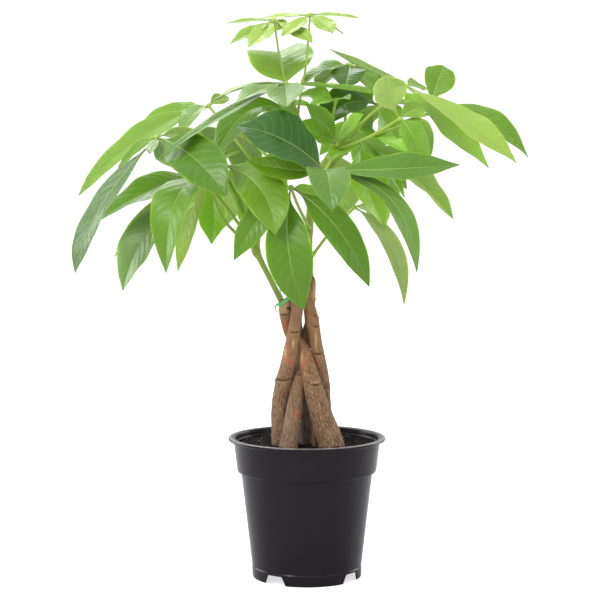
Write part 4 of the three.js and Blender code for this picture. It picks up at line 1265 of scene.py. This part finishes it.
def mark_bark(mesh, axis, marks, seed):
    """Sinks the scars, raises the knobs, and stores where the bark is scarred, flushed, pale or weathered."""
    points = coordinates(mesh) / MM
    across, up = seen(points)
    nearest = np.abs(points[:, 2:3] - axis[None, :, 2]).argmin(1)
    outward = unit((points - axis[nearest, :3]) * [1, 1, 0])
    front = np.clip(0.45 - outward[:, 1], 0, 1)
    kept = {key: np.zeros(len(points)) for key in ("crack", "blush", "pale")}
    lift = np.zeros(len(points))
    draw = np.random.default_rng(seed)
    hidden = []
    for _ in range(HIDDEN_MARKS):
        spot = axis[draw.integers(int(len(axis) * 0.3), len(axis) - 3), :3]
        kind = draw.choice(["crack", "crack", "blush", "pale"])
        hidden.append((kind, spot, draw.uniform(0.5, 2.6), draw.uniform(2, 5)))
    for kind, a, u, wide, high in marks:
        above = up - u - MARK_RISE * wide * ((across - a) / wide) ** 2
        across_share = bell(across - a, wide, 4) * (front > 0.2)
        share = across_share * bell(above, high)
        if kind == "knob":
            lift += KNOB_HEIGHT * share
        else:
            kept[kind] = np.maximum(kept[kind], share)
        # A crack's dark colour is painted shade in its hollow, and the pale on the lip below a wide crack is
        # a painted highlight.
        if kind == "crack" and wide > LIPPED_CRACK:
            lip = across_share * bell(above + high + LIP_BELOW, LIP_WIDTH)
            lift += LIP_SWELLING * lip
            kept["pale"] = np.maximum(kept["pale"], LIP_SWELLING * lip)
    for kind, spot, turn, wide in hidden:
        facing = outward @ np.array([math.cos(turn), math.sin(turn), 0])
        high = 0.8 if kind == "crack" else wide
        share = bell(points[:, 2] - spot[2], high) * np.clip(facing * 2 - 0.9, 0, 1)
        kept[kind] = np.maximum(kept[kind], share)
    points += outward * (lift - CRACK_DEPTH * kept["crack"] + PALE_HEIGHT * kept["pale"])[:, None]
    mesh.vertices.foreach_set("co", (points * MM).ravel())
    kept["weathered"] = np.full(len(points), WEATHERED[seed - 1])
    for key, values in kept.items():
        point_values(mesh, key, values)
    mesh.update()


def make_trunks(settings):
    bark = bark_material(settings)
    tree = limb_tree()
    for number, points in enumerate(TRUNKS, 1):
        line, run = route(points, TRUNK_STEP)
        line = rounded(line, run, CUT_ROUNDING if number in CUT_TRUNKS else TRUNK_ROUNDING)
        lines = Lines()
        lines.limb(line, run + TRUNK_SHIFT * number)
        trunk = lines.object(f"trunk_{number}_bark")
        mesh = grow(trunk, tree, {
            "Sides": TRUNK_SIDES, "Wrinkle Depth": settings.wrinkle, "Wrinkles": 5.5, "Wrinkle Length": 70.0,
            "Swelling Depth": 0.0016, "Skin": bark}, f"trunk_{number}_bark")
        mark_bark(mesh, line, BARK_MARKS[number - 1], number)
        wear(trunk, "bark", f"trunk_{number}")


# The leaves

def blade_rings(hub, facing, leaflet, phase, thickness):
    """The rings of one closed blade, and what each of their points stores."""
    tip_bow, width, roll, pull = leaflet[3:6], leaflet[6], leaflet[7], leaflet[8]
    root, tip = place(hub), place(leaflet)
    middle = place([(hub[k] + leaflet[k]) / 2 + tip_bow[k] for k in range(3)])
    control = 2 * middle - (root + tip) / 2
    t = np.linspace(0.006, 1, BLADE_STATIONS)
    share = np.interp(t, *zip(*BLADE_OUTLINE))
    share = np.convolve(np.pad(share, 1, mode="edge"), [0.22, 0.56, 0.22], "valid")
    share[-1] = 0.012
    s = (t**pull)[:, None]
    centre = bowed(root, control, tip, s)
    along = unit((1 - s) * (control - root) + s * (tip - control))
    side = unit(np.cross(facing, along))
    turn = math.radians(roll)
    side = side * math.cos(turn) + np.cross(along, side) * math.sin(turn)
    normal = np.cross(along, side)
    half = width / 2 * share
    columns = np.array([-v for v in BLADE_COLUMNS[:0:-1]] + BLADE_COLUMNS)
    across, size = np.abs(columns), len(columns)
    fold = (half * BLADE_FOLD)[:, None] * (1.35 * across - 0.35 * across**2)
    wave = (BLADE_WAVE * width * share * np.sin(BLADE_WAVES * t + phase))[:, None] * columns
    ripple = BLADE_RIPPLE * width * (share * np.sin(3.1 * BLADE_WAVES * t + 2 * phase))[:, None]
    ripple = ripple * np.sign(columns) * across**3
    quilt = BLADE_QUILT * width * (share * np.sin(47 * t + 3 * np.sin(5 * t + phase)))[:, None]
    quilt = quilt * (across * (1 - across) * 4)
    lift = fold - wave + ripple + quilt
    lift = lift - np.where(across < 0.03, BLADE_GROOVE, 0.0) * np.minimum(1, half / 6)[:, None]
    neck = np.clip((0.17 - t) / 0.09, 0, 1)[:, None]
    neck = neck * neck * (3 - 2 * neck)
    stalk = np.sqrt(np.clip(1 - across**2, 0, 1)) * BLADE_STALK
    keel = np.where(across < 0.1, BLADE_KEEL, 0.0) * (1.05 - t[:, None]) * (1 - across * 10)
    sheet = thickness / MM * (1 - across**8) + keel
    deep = neck * stalk + (1 - neck) * sheet
    lift = lift * (1 - neck)
    half = np.maximum(half, 0.85 * neck[:, 0])
    base = centre[:, None] + side[:, None] * (columns * half[:, None])[..., None]
    top_share = np.where(neck > 0.5, 0.5, 0.35)
    upper = base + normal[:, None] * (lift + deep * top_share)[..., None]
    lower = base + normal[:, None] * (lift - deep * (1 - top_share))[..., None]
    rings = np.concatenate([lower, upper[:, -2:0:-1]], 1)
    order = np.concatenate([columns, columns[-2:0:-1]])
    return rings, np.broadcast_to(t[:, None], rings.shape[:2]), np.broadcast_to(order, rings.shape[:2]), half


def grow_leaf(lines, row, number, thickness):
    """A compound leaf: its petiole, swollen at both ends, and its leaflets."""
    _, joint, bow, hub, facing, tone, leaflets = row
    middle = [(joint[k] + hub[k]) / 2 + bow[k] for k in range(3)]
    first, last = (radius * (YOUNG_PETIOLE if tone < YOUNG_TONE else 1) for radius in PETIOLE_RADIUS)
    line, run = route([[*joint, first], [*middle, (first + last) / 2], [*hub, last]], PETIOLE_STEP)
    share = run / run[-1]
    line[:, 3] *= 1 + PETIOLE_SWELLING * bell(share, 0.07)
    line[:, 3] = np.maximum(line[:, 3], HUB_SWELLING * bell(run[-1] - run, 2.6, 4))
    end = line[-1].copy()
    ahead = unit(line[-1, :3] - line[-2, :3])
    tail = np.array([[*(end[:3] + ahead * d), r] for d, r in HUB_END])
    line = np.concatenate([line, tail])
    run = np.concatenate([run, run[-1] + np.array([d for d, _ in HUB_END])])
    lines.limb(line, run, fresh=0.6 + 0.4 * np.clip(run / run[-1], 0, 1) ** 1.5 - 0.25 * tone)
    facing = unit(np.array(facing, float))
    draw = np.random.default_rng(100 + number)
    for i, leaflet in enumerate(leaflets):
        rings, along, side, half = blade_rings(hub, facing, leaflet, number + i, thickness)
        shade = leaflet[9] if len(leaflet) > 9 else tone
        shade = float(np.clip(shade + draw.uniform(-TONE_SPREAD, TONE_SPREAD), 0, 1))
        # How much painted sheen lies on the leaflet, or, below zero, how much painted glow.
        bloom = leaflet[10] if len(leaflet) > 10 else 0.0
        lines.blade(rings, tone=shade, bloom=bloom, off_rib=(side * half[:, None]).ravel() * MM,
                    u=along.ravel(), v=side.ravel())


def lay_out_blades(mesh, lines):
    """Gives the blades their own map, along and across, marks their undersides and keeps their rims crisp."""
    layer = mesh.uv_layers.new(name="Blade")
    corners = np.empty(len(mesh.loops), int)
    mesh.loops.foreach_get("vertex_index", corners)
    u, v = np.concatenate(lines.values["u"]), np.concatenate(lines.values["v"])
    layer.data.foreach_set("uv", np.stack([u[corners], (v[corners] + 1) / 2], 1).ravel())
    mesh.attributes.new("under", "FLOAT", "FACE").data.foreach_set("value", lines.under)
    ends = np.empty(2 * len(mesh.edges), int)
    mesh.edges.foreach_get("vertices", ends)
    rim = (np.abs(v) > 0.999)[ends.reshape(-1, 2)].all(1)
    mesh.attributes.new("sharp_edge", "BOOLEAN", "EDGE").data.foreach_set("value", rim)


def make_shoots(settings):
    tree = limb_tree()
    stem = stem_material(settings)
    finishes = {
        "leaf": leaf_material(settings, "Leaf", 0.34),
        "young_leaf": leaf_material(settings, "Young leaf", 0.4),
    }
    for name, points in STEMS:
        lines = Lines()
        line, run = route(points, STEM_STEP)
        line = rounded(line, run, STEM_ROUNDING)
        cork = np.clip(1 - run / CORK_RUN, 0, 1) ** 0.8 * 0.8
        knots = [place(row[1]) for row in LEAVES if row[0] == name]
        for knot in knots:
            away = np.linalg.norm(line[:, :3] - knot, axis=1)
            line[:, 3] += KNOT_SWELLING * bell(away, 4)
            cork = np.maximum(cork, 0.22 * bell(away, 2.2))
        lines.limb(line, run, fresh=0.08 + 0.5 * (run / run[-1]) ** 1.5, cork=cork)
        for number, row in enumerate(LEAVES):
            if row[0] == name:
                grow_leaf(lines, row, number, settings.thickness)
        shoot = lines.object(f"{name}_foliage")
        lay_out_blades(shoot.data, lines)
        slot = "young_leaf" if name == "shoot_middle" else "leaf"
        grow(shoot, tree, {
            "Sides": STEM_SIDES, "Wrinkle Depth": 0.0002, "Wrinkles": 2.5, "Wrinkle Length": 60.0,
            "Swelling Depth": 0.0004, "Skin": stem, "Blade": finishes[slot]}, f"{name}_foliage")
        wear(shoot, slot, name)


# The tie

def ribbon(points, width, thickness, twist):
    """Rings of a thin flat strip along a curve, turned by a twist on the way, as points and faces."""
    line, run = route([[*p, 1] for p in points], TIE_STEP)
    middle = line[:, :3]
    ahead = unit(np.gradient(middle, axis=0))
    flat = unit(np.cross(ahead, [0.0, 1.0, 0.2]))
    turn = (twist[0] + (twist[1] - twist[0]) * run / run[-1])[:, None]
    side = flat * np.cos(turn) + np.cross(ahead, flat) * np.sin(turn)
    face = np.cross(ahead, side)
    outline = np.array([(-1, -0.6), (-0.6, -1), (0, -0.7), (0.6, -1), (1, -0.6), (1, 0.6), (0.6, 1), (0, 0.7),
                        (-0.6, 1), (-1, 0.6)])
    swell = (1 + 0.12 * np.sin(run * 1.7))[:, None, None]
    rings = middle[:, None] + side[:, None] * outline[None, :, :1] * width / 2 * swell
    rings = rings + face[:, None] * outline[None, :, 1:] * thickness / 2
    return tube(rings)


def tube(rings, closed=False):
    """Points and faces of a skin over rings, closed at its ends or joined end to end."""
    steps, size = rings.shape[:2]
    rows = np.arange(steps if closed else steps - 1)[:, None] * size
    a = (rows + np.arange(size)).ravel()
    b = (rows + (np.arange(size) + 1) % size).ravel()
    total = steps * size
    faces = np.stack([a, b, (b + size) % total, (a + size) % total], 1).tolist()
    if not closed:
        faces += [list(range(size - 1, -1, -1)), list(range(total - size, total))]
    return rings.reshape(-1, 3), faces


def tie_band():
    """The band round the trunk's top: two turns of tape that lie half over each other."""
    turns = circle(TIE_SIDES)
    high = TIE_HEIGHT / 2
    outline = np.array([(0, -1), (0.8, -1), (1, -0.9), (1, -0.1), (0.75, 0), (0.8, 0.1), (1.15, 0.2),
                        (1.15, 0.85), (0.9, 1), (0, 1)])
    creases = 0.10 * np.sin(11 * turns) + 0.08 * np.sin(23 * turns + 1)
    radius = TIE_RADIUS + creases[:, None] + outline[None, :, 0] * TIE_THICKNESS
    height = outline[None, :, 1] * high + 0.25 * np.sin(3 * turns)[:, None]
    rings = np.stack([radius * np.cos(turns)[:, None], radius * np.sin(turns)[:, None], height], -1)
    lean = math.radians(-TIE_LEAN)
    x = rings[..., 0] * math.cos(lean) + rings[..., 2] * math.sin(lean)
    z = -rings[..., 0] * math.sin(lean) + rings[..., 2] * math.cos(lean)
    points, faces = tube(np.stack([x, rings[..., 1], z], -1) + place(TIE_AT), closed=True)
    return points, [face[::-1] for face in faces]


def make_tie(settings):
    width = settings.width / MM
    tie = merged("green_tie", [
        tie_band(), ribbon(TIE_END, width * TIE_END_SHARE, TIE_THICKNESS / 2, TIE_END_TWIST),
        ribbon(TIE_LOOP, width * TIE_LOOP_SHARE, TIE_THICKNESS / 2, TIE_LOOP_TWIST)])
    tie.data.set_sharp_from_angle(angle=math.radians(TIE_CREASE))
    tie.data.materials.append(tape_material(settings))
    wear(tie, "tie_tape", "tie")


# The stage

def floor_material(settings):
    """Plain pale card with a hardly visible grain, which glows a little to the camera alone."""
    made, tree, shader = new_material("Studio floor", 0.9, specular_ior_level=0.0)
    where = object_place(tree)
    mottled = mottle(tree, colour(settings.floor), where, 3.0, 300.0, 0.015)
    paint(tree, shader, mottled["Colour"])
    looked_at = put(tree, "ShaderNodeLightPath").outputs["Is Camera Ray"]
    shine = blend(tree, looked_at, (0, 0, 0, 1), mottled["Colour"])
    tree.links.new(shine, shader.inputs["Emission Color"])
    shader.inputs["Emission Strength"].default_value = FLOOR_GLOW
    return made


def area_light(name, where, size, power):
    """A square soft light, aimed at the middle of the plant."""
    lamp = bpy.data.lights.new(name, "AREA")
    lamp.shape, lamp.size, lamp.energy = "SQUARE", size, power
    made = add_object(name, lamp)
    made.location = where
    made.rotation_euler = (Vector(LIGHTS_AIM) - Vector(where)).to_track_quat("-Z", "Y").to_euler()


def set_world():
    """Soft even light, and a white background where the camera sees past the floor."""
    world = bpy.data.worlds.new("Studio")
    world.use_nodes = True
    tree = world.node_tree
    background = tree.nodes["Background"]
    background.inputs["Color"].default_value = (1, 1, 1, 1)
    seen_directly = put(tree, "ShaderNodeLightPath").outputs["Is Camera Ray"]
    tree.links.new(between(tree, seen_directly, WORLD_LIGHT, WORLD_SEEN), background.inputs["Strength"])
    bpy.context.scene.world = world


def make_stage(settings):
    count = FLOOR_SIDES
    turns = circle(count)
    rings = [np.stack([r * np.cos(turns), r * np.sin(turns), 0 * turns], 1) for r in FLOOR_RINGS]
    faces = [list(range(count))]
    for start in (0, count):
        last = start + count
        pairs = [(j, (j + 1) % count) for j in range(count)]
        faces += [[start + j, last + j, last + k, start + k] for j, k in pairs]
    floor = mesh_object("studio_floor", np.concatenate(rings) - [0, 0, FLOOR_DROP], faces)
    floor.data.materials.append(floor_material(settings))
    set_world()
    for name, where, size, share in LIGHTS:
        area_light(name, where, size, settings.key * share)
    sun = bpy.data.lights.new("top_light", "SUN")
    sun.energy, sun.angle = SUN_POWER, SUN_SPREAD
    add_object("top_light", sun).rotation_euler = SUN_TURN
    camera = bpy.data.cameras.new("camera")
    camera.sensor_width, camera.lens = SENSOR_WIDTH, settings.lens / MM
    camera.clip_start, camera.clip_end = VIEW_RANGE
    viewer = add_object("camera", camera)
    viewer.location = (EYE_ACROSS * MM, -EYE_DISTANCE * MM, EYE_UP * MM)
    viewer.rotation_euler = (math.radians(90 - EYE_PITCH), 0, 0)
    bpy.context.scene.camera = viewer
    bpy.context.scene.view_settings.view_transform = "Standard"


# Operators and the panel

class MONEY_TREE_OT_pot(bpy.types.Operator):
    """Turn the pot, cut its notches and holes, and finish it in black plastic"""

    bl_idname = "money_tree.pot"
    bl_label = "Make the Pot"

    def execute(self, context):
        make_pot(context.scene.money_tree.pot)
        return {"FINISHED"}


class MONEY_TREE_OT_soil(bpy.types.Operator):
    """Fill the pot with soil and strew crumbs over it"""

    bl_idname = "money_tree.soil"
    bl_label = "Fill In the Soil"

    def execute(self, context):
        make_soil(context.scene.money_tree.soil)
        return {"FINISHED"}


class MONEY_TREE_OT_trunks(bpy.types.Operator):
    """Grow the five braided trunks with their bark"""

    bl_idname = "money_tree.trunks"
    bl_label = "Grow the Trunks"

    def execute(self, context):
        make_trunks(context.scene.money_tree.bark)
        return {"FINISHED"}


class MONEY_TREE_OT_shoots(bpy.types.Operator):
    """Grow the green stems with their compound leaves"""

    bl_idname = "money_tree.shoots"
    bl_label = "Grow the Leaves"

    def execute(self, context):
        make_shoots(context.scene.money_tree.leaf)
        return {"FINISHED"}


class MONEY_TREE_OT_tie(bpy.types.Operator):
    """Tie the green tape round the top of the third trunk"""

    bl_idname = "money_tree.tie"
    bl_label = "Tie the Tape"

    def execute(self, context):
        make_tie(context.scene.money_tree.tie)
        return {"FINISHED"}


class MONEY_TREE_OT_stage(bpy.types.Operator):
    """Lay the floor, set the lights and place the camera"""

    bl_idname = "money_tree.stage"
    bl_label = "Set the Stage"

    def execute(self, context):
        make_stage(context.scene.money_tree.stage)
        return {"FINISHED"}


# The steps in their order, by the settings that each of them uses
STEPS = {
    "pot": MONEY_TREE_OT_pot, "soil": MONEY_TREE_OT_soil, "bark": MONEY_TREE_OT_trunks,
    "leaf": MONEY_TREE_OT_shoots, "tie": MONEY_TREE_OT_tie, "stage": MONEY_TREE_OT_stage,
}


class MONEY_TREE_PT_panel(bpy.types.Panel):
    """The steps that dress the plant, and what may be changed about it"""

    bl_idname = "MONEY_TREE_PT_panel"
    bl_label = "Money Tree"
    bl_space_type = "VIEW_3D"
    bl_region_type = "UI"
    bl_category = "Money Tree"

    def draw(self, context):
        for part, step in STEPS.items():
            box = self.layout.box()
            settings = getattr(context.scene.money_tree, part)
            for name in settings.__annotations__:
                box.prop(settings, name)
            box.operator(step.bl_idname)


CLASSES = [PotSettings, SoilSettings, BarkSettings, LeafSettings, TieSettings, StageSettings,
           MoneyTreeSettings, *STEPS.values(), MONEY_TREE_PT_panel]


def register():
    for made in CLASSES:
        bpy.utils.register_class(made)
    bpy.types.Scene.money_tree = PointerProperty(type=MoneyTreeSettings)


def unregister():
    del bpy.types.Scene.money_tree
    for made in reversed(CLASSES):
        bpy.utils.unregister_class(made)


def main():
    register()
    bpy.ops.money_tree.pot()
    bpy.ops.money_tree.soil()
    bpy.ops.money_tree.trunks()
    bpy.ops.money_tree.shoots()
    bpy.ops.money_tree.tie()
    bpy.ops.money_tree.stage()


if __name__ == "__main__":
    main()
